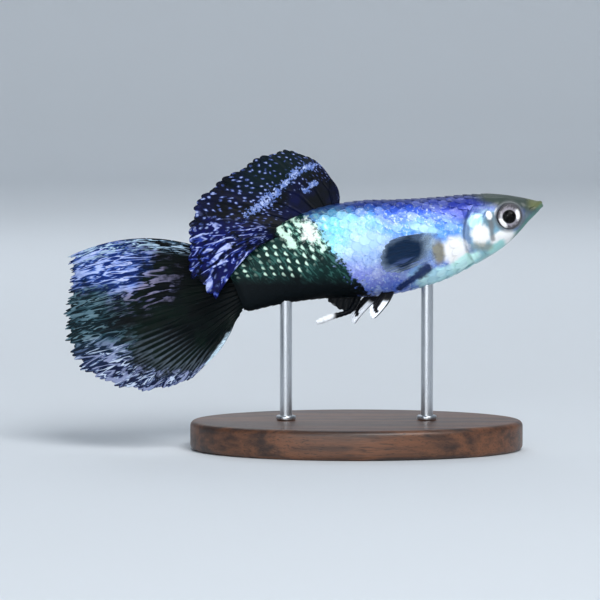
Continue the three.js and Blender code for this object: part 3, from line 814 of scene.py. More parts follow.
def make_rod(name, points, radii, sides=24):
    """A round tapering rod: a grid rolled up round a smooth line."""
    line, share = smooth_line(points, 12)
    rod, turn, along = grid_piece(name, sides, len(line) - 1, "rays")
    i = np.rint(along * (len(line) - 1)).astype(int)
    tangent = np.gradient(line, axis=0)
    tangent /= np.linalg.norm(tangent, axis=1, keepdims=True)
    side_way = np.cross(tangent, (0, 1, 0))
    side_way /= np.linalg.norm(side_way, axis=1, keepdims=True)
    other_way = np.cross(tangent, side_way)
    radius = follow(np.linspace(0, 1, len(points)), radii, np.linspace(0, 1, len(line)))
    radius *= 1 + 0.07 * np.sin(share * 90)  # the joints of the rays
    radius[-1] = 0.01
    angle = turn[:, None] * 2 * math.pi
    ring = side_way[i] * np.cos(angle) + other_way[i] * np.sin(angle)
    place_points(rod, line[i] + ring * radius[i][:, None])
    store_map(rod, "rays", turn, along)
    store_tone(rod, "ridge", np.ones(len(rod.data.vertices)))
    finish_piece(rod, weld)
    return rod


anal_web = make_fin(
    "anal_web", ANAL_TABLE, rays=6, columns_per_ray=12, rows=30, forks=(0.5,), depth=0.1,
    seed=41, web=0.12, ray_height=0.12, flutter=0.03,
)
anal_rod = make_rod("anal_rod", ANAL_ROD, ANAL_RADII)

# %% [markdown]
# ## Scales
# The scales are thin plates that overlap like roof tiles, each one rooted under the one in front. One plate
# is modelled: a grid that is given thickness. Its copies are bent onto the table of the body, in rows that
# shift by half a plate, and joined into one mesh. A bump pattern would be lighter, but it casts no shadows
# and leaves the outline bare.

# %% One scale, as a small plate
PLATE_THICK = 0.5  # of a plate of size 1, before it is laid

bpy.ops.mesh.primitive_grid_add(x_subdivisions=6, y_subdivisions=6, size=1.0)
pattern = bpy.context.object
apply_modifier("SOLIDIFY", thickness=PLATE_THICK, offset=0.0)
plate = np.array([v.co for v in pattern.data.vertices])
plate_faces = np.array([f.vertices for f in pattern.data.polygons])
bpy.ops.object.delete()
print("one scale:", len(plate), "points,", len(plate_faces), "faces")

# %% Laying the scales
SCALE_COLUMNS = 31
SCALE_ROUND = 24
SCALE_START = 0.16
SCALE_LENGTH = 1.62  # plate length over the spacing of the columns
SCALE_WIDTH = 0.6  # half width over the spacing of the rows
SCALE_THICK = 0.024
SCALE_SMALLEST = 0.72  # of full size, where the scales start
SCALE_GROWS = 0.16  # share of the body's length over which they reach full size
PATCH = 0.003  # side of one scale's own patch on the map OFBake
CREASE = math.radians(40)

draw = np.random.default_rng(7)
spacing = (1 - SCALE_START) / SCALE_COLUMNS
across = plate[:, 0] * 2
along = plate[:, 1] + 0.5
above = plate[:, 2] * 2 / PLATE_THICK
tip_reach = 0.6 + 0.4 * np.sqrt(1 - 0.96 * across**2)


def is_bare(root):
    """True on the face and the gill covers. The crown has scales."""
    from_cover = math.hypot(root[0] - GILL[0], root[2] - GILL[1]) - GILL_RADIUS
    on_cover = from_cover < 0.12 and root[0] < GILL[0]
    on_face = root[0] > GILL[0] - 0.5
    on_crown = root[2] > (24.65 if root[0] < 12 else 25.0)
    return (on_cover or on_face) and not on_crown


points, maps, lies, tones = [], [], [], []
for i in range(-1, SCALE_COLUMNS):
    for j in range(SCALE_ROUND):
        at = SCALE_START + (i + 0.5) * spacing
        share = (j + 0.5 * (i % 2)) / SCALE_ROUND
        if is_bare(between(body, np.array([at]), np.array([share]))[0]):
            continue
        grown = min(1.0, max(0.0, (at - SCALE_START) / SCALE_GROWS))
        size = draw.uniform(0.94, 1.06) * (SCALE_SMALLEST + (1 - SCALE_SMALLEST) * grown)
        tilt = draw.uniform(-0.05, 0.05)
        tone = draw.uniform(0, 1)
        along_here = along * tip_reach * SCALE_LENGTH * spacing * size
        across_here = across * SCALE_WIDTH / SCALE_ROUND * size * (0.86 + 0.14 * np.sin(along * math.pi))
        place_at = np.clip(at + along_here - 0.35 * spacing, 0, 1.0)
        place_share = share + across_here + tilt * along_here * 0.3
        rise = 0.115 if at > 0.2 else 0.085
        half_thick = SCALE_THICK / 2 * (1 - 0.5 * along)
        lift = rise * along - COAT + 0.02 * (1 - across**2) + above * half_thick
        spot = between(body, place_at, place_share) + between(body_out, place_at, place_share) * lift[:, None]
        points.append(spot)
        maps.append(np.stack([across / 2 + 0.5, along], axis=1))
        lies.append(np.tile((at, share % 1.0), (len(plate), 1)))
        tones.append(np.full(len(plate), tone))

count = len(points)
clear_selection()
scale_mesh = bpy.data.meshes.new("scales")
faces = (plate_faces[None] + np.arange(count)[:, None, None] * len(plate)).reshape(-1, 4)
scale_mesh.from_pydata(np.concatenate(points) * MM, [], faces.tolist())
scales = bpy.data.objects.new("scales", scale_mesh)
bpy.context.collection.objects.link(scales)
maps, lies = np.concatenate(maps), np.concatenate(lies)
store_map(scales, "lie", *lies.T)
store_map(scales, "plate", *maps.T)
store_map(scales, "OFBake", *(lies + (maps - 0.5) * PATCH).T)
store_tone(scales, "tone", np.concatenate(tones))
edit_all(scales, face_out)
bpy.ops.object.shade_smooth_by_angle(angle=CREASE)
print(count, "scales,", len(scale_mesh.polygons) * 2, "triangles")

# %% [markdown]
# ## Eyes
# A fish's eye has no lid. The front of the ball is flattened to an almost level iris, the lens bulges out
# through the pupil as a black bead, and a clear window domes over both. An eye painted on a plain ball
# would be less work, but it would look flat from every slant.


# %% Eyeball, lens and window
IRIS_SHARE = 0.86  # radius of the flattened front over the radius of the eye
IRIS_DOME = 0.12
EYE_PARTS = (  # name, radius, depth, how far it is pushed out, segments and rings
    ("eyeball", EYE_RADIUS + 0.07, EYE_DEPTH, 0.0, 64, 40), ("lens", 0.66, 0.32, 0.4, 48, 24),
    ("window", EYE_RADIUS * 0.93, 0.62, 0.36, 64, 40),
)


def flatten_front(flat, side):
    """Moves the outer face of the ball back to a shallow dome."""
    from_axis = np.hypot(flat[:, 0], flat[:, 2]) / EYE_RADIUS
    front = (flat[:, 1] * side > 0) & (from_axis < IRIS_SHARE)
    level = EYE_DEPTH * math.sqrt(1 - IRIS_SHARE**2)
    flat[front, 1] = side * (level + IRIS_DOME * (1 - (from_axis[front] / IRIS_SHARE) ** 2))


eye_pieces = []
for side_name, side in (("right", -1), ("left", 1)):
    pieces = []
    for part, radius, depth, push, segments, rings in EYE_PARTS:
        clear_selection()
        bpy.ops.mesh.primitive_uv_sphere_add(
            segments=segments, ring_count=rings, radius=1.0, rotation=(math.pi / 2, 0, 0),
        )
        piece = bpy.context.object
        piece.name = f"{part}_{side_name}"
        piece.data.name = piece.name
        bpy.ops.object.transform_apply(location=True, rotation=True, scale=True)
        flat = np.array([v.co for v in piece.data.vertices]) * (radius, depth, radius)
        if part == "eyeball":
            flatten_front(flat, side)
        place_points(piece, flat + (EYE[0], side * (EYE_SIDE + push), EYE[1]))
        finish_piece(piece)
        pieces.append(piece)
    eye_pieces.append((side_name, *pieces))

# %% [markdown]
# ## Stand
# The base is an oval of dark wood: a cylinder squeezed to an oval, with its edges rounded by a bevel. The
# rods are plain steel, each with a small collar where it meets the wood. A turned profile would
# do for the rods as well, but there is nothing on them to turn.

# %% Base and rods
BASE_SIZE = (34.0, 21.0, 3.0)
ROD_RADIUS = 0.62
ROD_BELOW = 0.4  # how far a rod goes on below the box of its solid
ROD_ABOVE = 0.3  # and above it, into the fish
COLLAR_RADIUS = 1.0
COLLAR_HEIGHT = 0.5


def upright(radius, x, y, bottom, top):
    """A round bar that stands upright."""
    bpy.ops.mesh.primitive_cylinder_add(
        vertices=48, radius=radius * MM, depth=(top - bottom) * MM,
        location=(x * MM, y * MM, (top + bottom) / 2 * MM),
    )
    bpy.ops.object.transform_apply(location=True, rotation=True, scale=True)
    return bpy.context.object


clear_selection()
bpy.ops.mesh.primitive_cylinder_add(
    vertices=160, radius=0.5, depth=1.0, location=(0, 0, BASE_SIZE[2] / 2 * MM),
    scale=tuple(length * MM for length in BASE_SIZE),
)
base = bpy.context.object
base.name = "base"
bpy.ops.object.transform_apply(location=True, rotation=True, scale=True)
apply_modifier("BEVEL", width=0.55 * MM, segments=5, limit_method="ANGLE")
bpy.ops.object.shade_smooth_by_angle(angle=CREASE)

rods = []
for node, name in (("stand_rod_front", "rod_front"), ("stand_rod_rear", "rod_rear")):
    low, high = (np.array(corner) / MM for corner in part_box(node))
    x, y = (low[:2] + high[:2]) / 2
    clear_selection()
    rod = upright(ROD_RADIUS, x, y, low[2] - ROD_BELOW, high[2] + ROD_ABOVE)
    rod.name = name
    upright(COLLAR_RADIUS, x, y, BASE_SIZE[2], BASE_SIZE[2] + COLLAR_HEIGHT)
    apply_modifier("BEVEL", width=0.16 * MM, segments=4)
    rod.select_set(True)
    bpy.context.view_layer.objects.active = rod
    bpy.ops.object.join()
    bpy.ops.object.shade_smooth_by_angle(angle=CREASE)
    rods.append((node, rod))

# %% [markdown]
# ## Colours of the body
# A scale is a clear plate over the skin, so skin and scales have to show the same markings, and the same
# functions paint both. They start with soft bands from belly to back, then lay marks over them: soft
# ovals, strokes along short lines, and a ragged slanting edge where the black rear begins. Places are in
# millimetres seen from the side, so the left side carries the same marks as the right. A painted picture
# could be wrapped round the body instead, but marks worked out from places stay sharp at any distance.


# %% Soft marks
def blot(p, centre, size, turn=0.0, soft=0.3, wobble=0.0):
    """1 inside a soft oval, 0 outside. The turn is in degrees and the wobble roughens its edge."""
    c, s = math.cos(math.radians(turn)), math.sin(math.radians(turn))
    right, high = p.x - centre[0], p.z - centre[1]
    along = (right * c + high * s) / size[0]
    over = (high * c - right * s) / size[1]
    return ((along * along + over * over) ** 0.5 + wobble).rise(1 + soft, 1 - soft)


def how_far(p, centre):
    """Distance from a centre, in the side view."""
    right, high = p.x - centre[0], p.z - centre[1]
    return (right * right + high * high) ** 0.5


def stripe(p, start, end, width, wobble=0.0, soft=0.3):
    """1 near a straight line between two places."""
    run, climb = end[0] - start[0], end[1] - start[1]
    share = ((p.x - start[0]) * run + (p.z - start[1]) * climb) / (run**2 + climb**2)
    share = share.most(0.0).least(1.0)
    right, high = p.x - start[0] - share * run, p.z - start[1] - share * climb
    return (((right * right + high * high) ** 0.5) / width + wobble).rise(1 + soft, 1 - soft)


def body_places(paint):
    """Places on the body, and unevenness of three sizes that keeps every edge from being too clean."""
    x, _, z, spot = paint.place()
    at, share = paint.map("lie")
    return SimpleNamespace(
        x=x, z=z, spot=spot, at=at, off_belly=(share - 0.5).abs(),
        cloud=paint.uneven(spot, 0.42, rough=0.55), grain=paint.uneven(spot, 1.5),
        fine=paint.uneven(spot, 3.0, 2.0),
    )


# %% [markdown]
# The flank is the part that glitters. Small crystals in the skin throw back blue, cyan or lilac light, each
# a little differently, so fine bright and dark specks are strewn over the bands. The belly is pale mint
# and the back is dark, as on most fish that are seen from above and from below.

# %% Flank, belly and back
BELLY_TO_BACK = [  # colour, and the height where it is reached
    ("5C7CD6", 17.0), ("7C9AE8", 18.9), ("82B2F2", 20.4),
    ("68A8F8", 22.5), ("4674EA", 23.9), ("2B45BE", 25.2),
]


def flank_colours(paint, p):
    """The bands with their shine and glitter. Returns the masks of the shoulder's slate and the back too."""
    level = p.z + p.cloud * 2.4 + p.grain * 1.4
    bands = [
        (code, level.rise(below, top)) for (code, top), (_, below) in zip(BELLY_TO_BACK[1:], BELLY_TO_BACK)
    ]
    shine = blot(p, (-2.2, 22.3), (3.6, 2.2), 0, 0.55, p.cloud * 1.6 + p.grain)
    lilac = blot(p, (1.8, 19.6), (2.8, 2.4), 0, 0.45, p.cloud + p.grain)
    pearl = blot(p, (1.0, 21.0), (2.5, 2.0), -20, 0.55, p.cloud + p.grain)
    glitter = p.fine + paint.uneven(p.spot, 5.5, rough=0.7) * 0.7
    belly = p.off_belly.rise(0.15, 0.07) * p.at.rise(0.46, 0.36)
    slate = blot(p, (11.6, 24.5), (3.6, 1.35), -14, 0.5, p.cloud)
    back = p.off_belly.rise(0.4, 0.47)
    colour = paint.over(
        BELLY_TO_BACK[0][0], *bands,
        ("86E2FA", shine * 0.9), ("B8B4F8", lilac * 0.5), ("B4DCFC", pearl * 0.7),
        ("E6F8FF", glitter.rise(0.0, 0.26) * 0.5), ("2440B8", glitter.rise(-0.02, -0.28) * 0.42),
        ("A4E2DE", (belly + p.grain * 1.6).rise(0.25, 0.95) * 0.85),
        ("2E3896", slate * 0.85), ("17295C", back * 0.85),
    )
    return colour, slate, back


# %% [markdown]
# The head is bare skin over bone. Cheek, gill cover and shoulder flash white, with grey, tan and pale green
# between them, and the crown, snout and jaw are olive. A dark stroke slants down the belly behind it.

# %% Head and shoulder
WHITE_MARKS = [  # centre, size, turn, colour
    ((11.9, 23.45), (0.8, 0.66), 40, "BFEFFC"), ((6.9, 22.6), (1.35, 0.42), -8, "A6D6FC"),
    ((12.5, 22.05), (0.98, 1.05), 20, "FFFFFF"), ((14.85, 21.75), (1.42, 0.82), 16, "FFFFFF"),
    ((14.2, 20.75), (1.0, 0.5), 35, "A8E0DE"), ((13.3, 24.0), (0.3, 0.42), 20, "FFFFFF"),
    ((14.02, 24.4), (0.14, 0.4), -12, "D8DEE6"), ((9.95, 20.45), (1.3, 1.47), 22, "FFFFFF"),
    ((10.9, 19.3), (1.7, 0.62), 30, "D2FFFA"), ((7.8, 17.85), (1.9, 0.7), 22, "C6F6FF"),
    ((5.9, 18.4), (0.9, 0.4), 30, "9AC8F4"), ((0.9, 21.2), (1.5, 0.8), 20, "B2DAFC"),
    ((7.1, 21.3), (0.75, 0.8), 0, "B4CCDC"),
]


def head_colours(paint, p, colour):
    """White flashes and what lies between them, then the olive parts. Returns the dull places too."""
    cheek = blot(p, (13.4, 21.9), (2.3, 2.6), 0, 0.4, p.grain)
    arc = (how_far(p, GILL) - GILL_RADIUS + 0.25 + p.grain * 0.5).abs().rise(0.55, 0.2)
    arc = arc * p.z.rise(24.0, 23.2) * p.z.rise(19.6, 20.4) * p.x.rise(12.6, 12.0)
    shade = blot(p, (13.5, 23.35), (0.45, 0.9), 12, 0.5, p.grain)
    flashes = [
        (code, blot(p, centre, size, turn, 0.3, p.grain * 0.8)) for centre, size, turn, code in WHITE_MARKS
    ]
    tan = blot(p, (8.2, 20.35), (0.62, 1.25), 6, 0.4, p.grain * 0.6)
    under_gill = stripe(p, (12.1, 20.95), (13.4, 20.8), 0.42, p.grain * 1.4, 0.7)
    behind_cheek = stripe(p, (13.5, 23.3), (13.72, 21.6), 0.22, p.grain * 1.2, 0.7)
    slash = stripe(p, (7.1, 18.65), (6.3, 18.0), 0.55, p.grain * 1.4, 0.45)
    slash = slash.most(stripe(p, (6.3, 18.0), (4.3, 16.6), 0.32, p.grain * 1.8, 0.5))
    nose = (p.x - p.z * 0.35).rise(7.9, 8.7)
    crown = blot(p, (15.6, 25.9), (4.6, 1.35), -12, 0.4, p.cloud * 0.8)
    snout_top = p.x.rise(16.9, 17.9) * p.z.rise(24.3, 25.0)
    jaw = blot(p, (17.5, 23.1), (2.2, 0.55), 50, 0.5, p.grain * 1.2)
    colour = paint.over(
        colour, ("86AEB4", cheek * 0.8), ("6F7F9A", arc * 0.7), ("68767E", shade * 0.75), *flashes,
        ("8A8468", (tan * 0.9).most(under_gill * 0.55)), ("787C80", behind_cheek * 0.8),
        ("0E2450", slash * 0.95), ("5A6864", nose * 0.9), ("3A4642", crown), ("6A7048", snout_top * 0.8),
        ("4A8A80", jaw * 0.75), ("686C70", how_far(p, EYE).rise(1.75, 1.4) * 0.75),
    )
    return colour, crown.most(nose).most(tan).most(slash)


# %% [markdown]
# The rear is black with green in it, and its front edge slants back from the belly. Each scale there has a
# mint spot in its middle, so a spot is drawn in the scale's own two shares, u across it and v along it.
# Below the dorsal fin the spots run together in a broken pale patch. The bare skin has no scale, so it
# works out from its place along and round the body where on the scale above it would lie.

# %% Rear
SPOT_ALONG = 0.68  # how far along a scale its spot lies
SPOT_COLUMN = 1.25  # how many columns behind the start of the scales the first spots lie


def under_scale(paint):
    """Where on the scale above it a place of the bare skin lies."""
    at, share = paint.map("lie")
    column = (at - SCALE_START) / spacing - SPOT_COLUMN
    half = column.whole() * 0.5
    row = share * SCALE_ROUND - (half - (half - 0.25).whole())
    u = (row - row.whole()) / (2 * SCALE_WIDTH) + 0.5
    v = (column - column.whole()) / SCALE_LENGTH + SPOT_ALONG
    return u, v


def rear_colours(paint, p, colour, u, v, tone):
    """The black rear with its smears, spots and pale patch. Returns the mask of the black too."""
    on_scale = SimpleNamespace(x=u, z=v)
    edge = (22.0 - p.z) * 0.85 - 3.9 + p.cloud * 2.4 + p.grain * 4.2 + p.fine * 1.6
    rear = (p.x - edge).rise(0.45, -0.45) * p.z.rise(27.5, 26.5)
    smears = paint.noise(paint.spot_at((p.x - p.z) * 0.7, (p.x + p.z) * 2.2), 1.0, 3.0, 0.6, 0.6, "2D")
    green = rear * (p.cloud + 0.5).rise(0.25, 0.5) * p.z.rise(16.8, 18.4)
    patch = blot(p, (-5.1, 22.2), (2.5, 1.8), -25, 0.5, p.grain * 1.4) * (p.z - p.x * 0.35).rise(26.1, 25.3)
    patch = patch * blot(on_scale, (0.5, 0.7), (0.56, 0.4), -25, 0.3, (p.grain + p.fine) * 1.4)
    spots = blot(on_scale, (0.5, SPOT_ALONG), (0.27, 0.09), -14, 0.45, p.grain * 1.4)
    spots = spots * p.z.rise(17.4, 18.2) * p.z.rise(24.6, 23.6) * p.x.rise(-2.4, -3.4)
    spots = spots * (p.x - p.z * 1.16).rise(-26.0, -27.4) * (tone + p.grain * 0.5).rise(0.0, 0.5)
    rough = p.grain * 2.2 + p.fine * 1.6
    for start, end, width in (((-7.9, 22.7), (-6.5, 21.0), 0.3), ((-4.1, 21.8), (-3.3, 20.6), 0.24)):
        spots = spots.most(stripe(p, start, end, width, rough * 1.5, 0.6))
    spots = spots.most(blot(p, (-6.0, 23.1), (0.7, 0.3), -30, 0.6, rough * 1.5))
    heart = blot(p, (-4.8, 22.4), (0.7, 1.0), 15, 0.5, rough)
    colour = paint.over(
        colour, ("020A0F", rear), ("0C302E", green * 0.85), ("3C6E68", green * smears.rise(0.5, 0.66) * 0.75),
        ("98D0BE", patch * smears.rise(0.47, 0.62) * 0.9), ("D6F8E6", spots * 0.95), ("F6FCF6", heart * 0.9),
    )
    return colour, rear


def body_marks(paint, u, v, tone):
    """All the markings, with the masks that other sockets need. The tone is one scale's brightness."""
    p = body_places(paint)
    colour, slate, p.back = flank_colours(paint, p)
    colour, p.dull = head_colours(paint, p, colour)
    p.colour, p.rear = rear_colours(paint, p, colour, u, v, tone)
    shoulder = blot(p, (9.95, 20.45), (1.2, 1.35), 22, 0.4, p.grain * 0.8)
    p.even = (1.0 - slate * 0.8) * (1.0 - shoulder)
    return p


# %% [markdown]
# Skin and scales differ in their finish. The skin is a little bumpy with pores, and the head has nothing
# over it. Each scale is a touch lighter or darker than the next, has a dim rim and fine growth lines across
# it, and is slightly metallic where it glitters. Both have a thin wet coat, except on the dull parts.

# %% Skin material
paint = Paint("fish_skin")
p = body_marks(paint, *under_scale(paint), 0.5)
paint.set(
    Base_Color=p.colour,
    Metallic=(1.0 - p.dull) * (1.0 - p.rear) * 0.2,
    Roughness=0.36 + p.fine * 0.2 + p.dull * 0.14,
    Coat_Weight=(1.0 - p.rear) * (1.0 - p.back) * 0.3,
    Coat_Roughness=0.15,
    Specular_IOR_Level=0.15,
    Normal=paint.bump(paint.cells(p.spot, 7.0) * 0.6 + p.fine, 0.03, 0.7),
)
settle(skin, paint.material, "body_skin", "head", "trunk", "tail_stalk")

# %% Scale material
paint = Paint("fish_scales")
u, v = paint.map("plate")
tone = paint.tone("tone")
p = body_marks(paint, u, v, tone)
front = 1.0 - p.rear
varied = front * (1.0 - p.dull) * (1.0 - p.back) * p.even * 0.18
rim = v.rise(0.86, 0.99) * 0.1 + (u - 0.5).abs().rise(0.42, 0.5) * 0.05
growth = paint.noise(paint.spot_at((u - 0.5) * 2.0, v * 26.0), 1.0, 1.0)
paint.set(
    Base_Color=paint.over(
        p.colour, ("E8F6FF", tone.rise(0.45, 1.0) * varied), ("2A48C8", tone.rise(0.45, 0.0) * varied),
        ("24409A", rim * front),
    ),
    Metallic=(1.0 - p.dull * 0.7) * (front * 0.22 + 0.02),
    Roughness=0.36 + p.fine * 0.15 + p.rear * 0.15,
    Coat_Weight=front * (1.0 - p.back) * 0.28,
    Coat_Roughness=0.15,
    Specular_IOR_Level=0.12,
    Normal=paint.bump(growth, 0.01, 0.5),
)
settle(scales, paint.material, "body_skin")

# %% [markdown]
# ## Colours of the fins
# The dark fins carry a lace of pale worms and spots that follows the rays, so the pattern is drawn on the
# fan's own map: across the rays and along them. Noise drawn out along the rays, cut off at a threshold,
# makes worms, and cells make spots. Where each kind shows is set by soft marks in the side view, as on the
# body. A single stretched noise would look alike all over, and the real lace changes from place to place.


# %% Streaks and spots that follow the rays
def fin_places(paint, cloud_scale):
    """Places on a fin, in the side view and on the fan's map, with unevenness of two sizes."""
    x, _, z, spot = paint.place()
    u, v = paint.map("rays")
    return SimpleNamespace(
        x=x, z=z, spot=spot, u=u, v=v, ridge=paint.tone("ridge"),
        cloud=paint.uneven(spot, cloud_scale), grain=paint.uneven(spot, 1.6, 2.0),
    )


def streaks(paint, p, across, along, warp, seed=0.0):
    """Noise drawn out along the rays, which a threshold turns into worms."""
    return paint.noise(paint.spot_at(p.u * across + seed, p.v * along), 1.0, 2.0, 0.55, warp, "2D")


def lace(worms, where, low, middle, bright):
    """Two coats of colour that make worms: a middle tone at their edges and a bright core."""
    return (middle, worms.rise(low, low + 0.07) * where), (bright, worms.rise(low + 0.05, low + 0.14) * where)


def dark_fin(paint, p, colour, thin_from, across, along):
    """The finish of the dark fins: dull, a little see-through between the rays at the rim, and ribbed."""
    paint.set(
        Base_Color=colour,
        Roughness=0.55,
        Coat_Weight=0.03,
        Coat_Roughness=0.2,
        Specular_IOR_Level=0.06,
        Alpha=1.0 - p.v.rise(thin_from, 1.0) * (1.0 - p.ridge) * 0.1,
        Normal=paint.bump(paint.noise(paint.spot_at(p.u * across, p.v * along), 1.0, 1.0), 0.02, 0.6),
    )


# %% [markdown]
# The tail is black in the middle. Its upper lobe has broad blue and lilac blotches, its hind rim has grey
# green ones, its lower rim is strewn with pale strokes, and the last rays have a white edge.

# %% Tail material
paint = Paint("tail_web")
p = fin_places(paint, 0.35)
worms = streaks(paint, p, 40.0, 9.0, 1.0)
short_worms = streaks(paint, p, 60.0, 12.0, 1.1, 4.0)
broad = streaks(paint, p, 26.0, 7.0, 1.2, 9.0)
blue_lobe = blot(p, (-26.0, 19.0), (4.0, 2.6), -6, 0.45, p.cloud * 1.2 + p.grain * 0.8)
inner = blot(p, (-22.8, 17.1), (3.3, 2.7), 0, 0.5, p.cloud * 1.2 + p.grain)
hind_rim = (p.v + p.cloud * 0.3).rise(0.64, 0.88) * (p.u - 0.46).abs().rise(0.22, 0.14)
low_rim = (p.v + p.cloud * 0.3 + p.grain * 0.3).rise(0.72, 0.92) * p.u.rise(0.5, 0.62)
top_rim = p.u.rise(0.13, 0.05) * p.v.rise(0.2, 0.4)
bare_rays = blot(p, (-19.0, 10.0), (4.6, 2.0), -14, 0.5, p.cloud * 1.6) * p.ridge * p.v.rise(0.35, 0.6)
pale_edge = (p.u + p.grain * 0.02).rise(0.965, 0.985) * (p.v + p.grain * 0.3).rise(0.25, 0.5)
colour = paint.over(
    "010609",
    ("04140F", (p.cloud + 0.5).rise(0.4, 0.75)),
    ("56626E", bare_rays * (p.grain + 0.6)),
    *lace(broad, inner * 0.85, 0.48, "343A5C", "84809C"),
    ("1E3C96", blue_lobe * 0.45),
    *lace(broad, blue_lobe * 0.9, 0.48, "4468BC", "B4C4F0"),
    *lace(worms, blue_lobe * 0.7, 0.55, "6C8CD8", "D6DEFA"),
    ("10242C", hind_rim * 0.6),
    *lace(broad, hind_rim * 0.8, 0.5, "2A4854", "5C7886"),
    *lace(short_worms, hind_rim * 0.6, 0.54, "3C5A68", "7894A0"),
    *lace(short_worms, top_rim * 0.85, 0.5, "5A7C9C", "BCD4E8"),
    ("1C2650", low_rim * 0.5),
    *lace(broad, low_rim * 0.75, 0.49, "424E76", "949EC2"),
    *lace(short_worms, low_rim * 0.85, 0.54, "60749E", "C8D6EA"),
    ("CFE8FA", pale_edge * (short_worms.rise(0.4, 0.6) * 0.5 + 0.5)),
)
dark_fin(paint, p, colour, 0.8, 30.0, 90.0)
settle(tail_fin, paint.material, "dark_fin", "tail_fin")

# %% [markdown]
# The dorsal fin is dotted, with a broken pale band that climbs to its front corner and a bare dark wedge
# under the band. The part that falls over the flank is navy, with lavender worms.

# %% Dorsal material
PALE_BAND = [  # centre, size, turn
    ((-10.4, 24.6), (0.95, 0.4), 38), ((-9.1, 25.5), (0.8, 0.5), 42), ((-8.3, 26.15), (0.6, 0.36), 40),
    ((-7.3, 27.15), (0.7, 0.32), 48), ((-6.3, 28.15), (0.75, 0.34), 46), ((-4.9, 28.85), (0.9, 0.3), 20),
    ((-3.7, 29.2), (0.5, 0.25), 10), ((-4.6, 27.0), (0.4, 0.3), 30), ((-5.3, 26.5), (0.3, 0.25), 0),
]

paint = Paint("dorsal_web")
p = fin_places(paint, 0.4)
dots = paint.cells(paint.spot_at(p.u * 35.0 + p.cloud, p.v * 12.5), 1.0, 0.75, "2D")
dots = (dots + p.grain * 0.5).rise(0.32, 0.06) * (p.cloud + p.grain + 0.5).rise(0.2, 0.65)
worms = streaks(paint, p, 38.0, 7.0, 0.6, 2.0)
teal = blot(p, (-8.5, 28.4), (4.0, 1.8), 25, 0.5, p.cloud)
wedge = blot(p, (-4.5, 25.9), (3.3, 1.5), 16, 0.3, p.grain * 0.6)
fall = (p.u + p.cloud * 0.16 + p.grain * 0.1).rise(0.68, 0.82) * p.v.rise(0.25, 0.5)
dotted = (1.0 - fall * 0.55) * (1.0 - wedge) * p.v.rise(0.2, 0.34)
clumps = paint.uneven(p.spot, 1.7)
fine = paint.uneven(p.spot, 4.5, 2.0)
rough = clumps * 3.6 + fine * 4.5 + 0.1
broken = (clumps + p.grain + 0.5).rise(0.3, 0.9)
colour = paint.over(
    "02070F",
    ("050D3A", (p.cloud + 0.5).rise(0.4, 0.8)),
    ("041A1E", teal * 0.7),
    ("0A1050", fall * (p.cloud + p.grain + 0.6).rise(0.3, 0.9) * 0.9),
    ("46589A", dots.rise(0.0, 0.7) * dotted),
    ("A6B4DC", dots.rise(0.45, 1.0) * dotted),
    *lace(worms, fall * (p.grain + p.cloud + 0.6).rise(0.3, 0.7) * 0.9, 0.52, "2E46A8", "BCC8F4"),
)
for centre, size, turn in PALE_BAND:
    band = blot(p, centre, size, turn, 0.5, rough)
    colour = paint.over(
        colour, ("5E78BC", band.rise(0.0, 0.6) * 0.8), ("CAD8FA", band.rise(0.5, 1.0) * broken),
    )
dark_fin(paint, p, colour, 0.85, 26.0, 80.0)
settle(dorsal_fin, paint.material, "dark_fin", "dorsal_fin")

# %% [markdown]
# The pectoral fins are clear as glass at their rim, with an inky blotch in the middle. The pelvic fins and
# the rod of the anal fin are black with white strokes at their leading edges and tips. Fins this thin let
# light through, so the pelvic fins' white gives off a little light of its own in place of it.

# %% Pectoral material
paint = Paint("pectoral_web")
p = fin_places(paint, 0.7)
ink = blot(p, (4.65, 20.35), (2.4, 1.85), 28, 0.4, p.cloud * 0.7) * p.v.rise(0.18, 0.4)
pale_lines = streaks(paint, p, 12.0, 2.5, 0.4).rise(0.55, 0.7) * p.u.rise(0.6, 0.85)
paint.set(
    Base_Color=paint.over("8FA6C0", ("07223F", ink), ("6C84C8", pale_lines * 0.6)),
    Roughness=0.45,
    Coat_Weight=0.08,
    Coat_Roughness=0.15,
    Specular_IOR_Level=0.15,
    Alpha=0.22 + ink * 0.7 + p.ridge * 0.08,
)
for side in ("right", "left"):
    node = f"pectoral_fin_{side}"
    settle(paired_fins[node], paint.material, "clear_fin", node)

# %% Pelvic material
paint = Paint("pelvic_web")
u, v = paint.map("rays")
cloud = paint.uneven(paint.place()[3], 0.8, 2.0, 0.5)
waist = (v - 0.78).abs().rise(0.1, 0.02)
stroke = (u + cloud * 0.15 + waist * 0.3).rise(0.56, 0.44)
pale = stroke.most((v + cloud * 0.1).rise(0.8, 0.88)) * v.rise(0.34, 0.46) * u.rise(0.02, 0.09)
paint.set(
    Base_Color=paint.over("04060E", ("F4F8FF", pale)),
    Emission_Color=paint.over("000000", ("E8F2FF", pale)),
    Emission_Strength=0.2,
    Roughness=0.4 + cloud * 0.1,
    Coat_Weight=0.1,
    Coat_Roughness=0.12,
    Specular_IOR_Level=0.15,
)
for side in ("right", "left"):
    node = f"pelvic_fin_{side}"
    settle(paired_fins[node], paint.material, "dark_fin", node)

# %% Anal fin material
paint = Paint("anal_rod_skin")
x, _, z, spot = paint.place()
cloud = paint.uneven(spot, 1.2, 2.0, 0.5)
pale = (x + cloud * 0.5).rise(-2.1, -2.6) * z.rise(15.0, 14.5)
paint.set(
    Base_Color=paint.over("02050A", ("F6FAFF", pale)),
    Roughness=0.45 + cloud * 0.1,
    Coat_Weight=0.04,
    Coat_Roughness=0.12,
    Specular_IOR_Level=0.08,
)
settle(anal_web, paint.material, "dark_fin", "anal_fin")
settle(anal_rod, paint.material, "dark_fin")

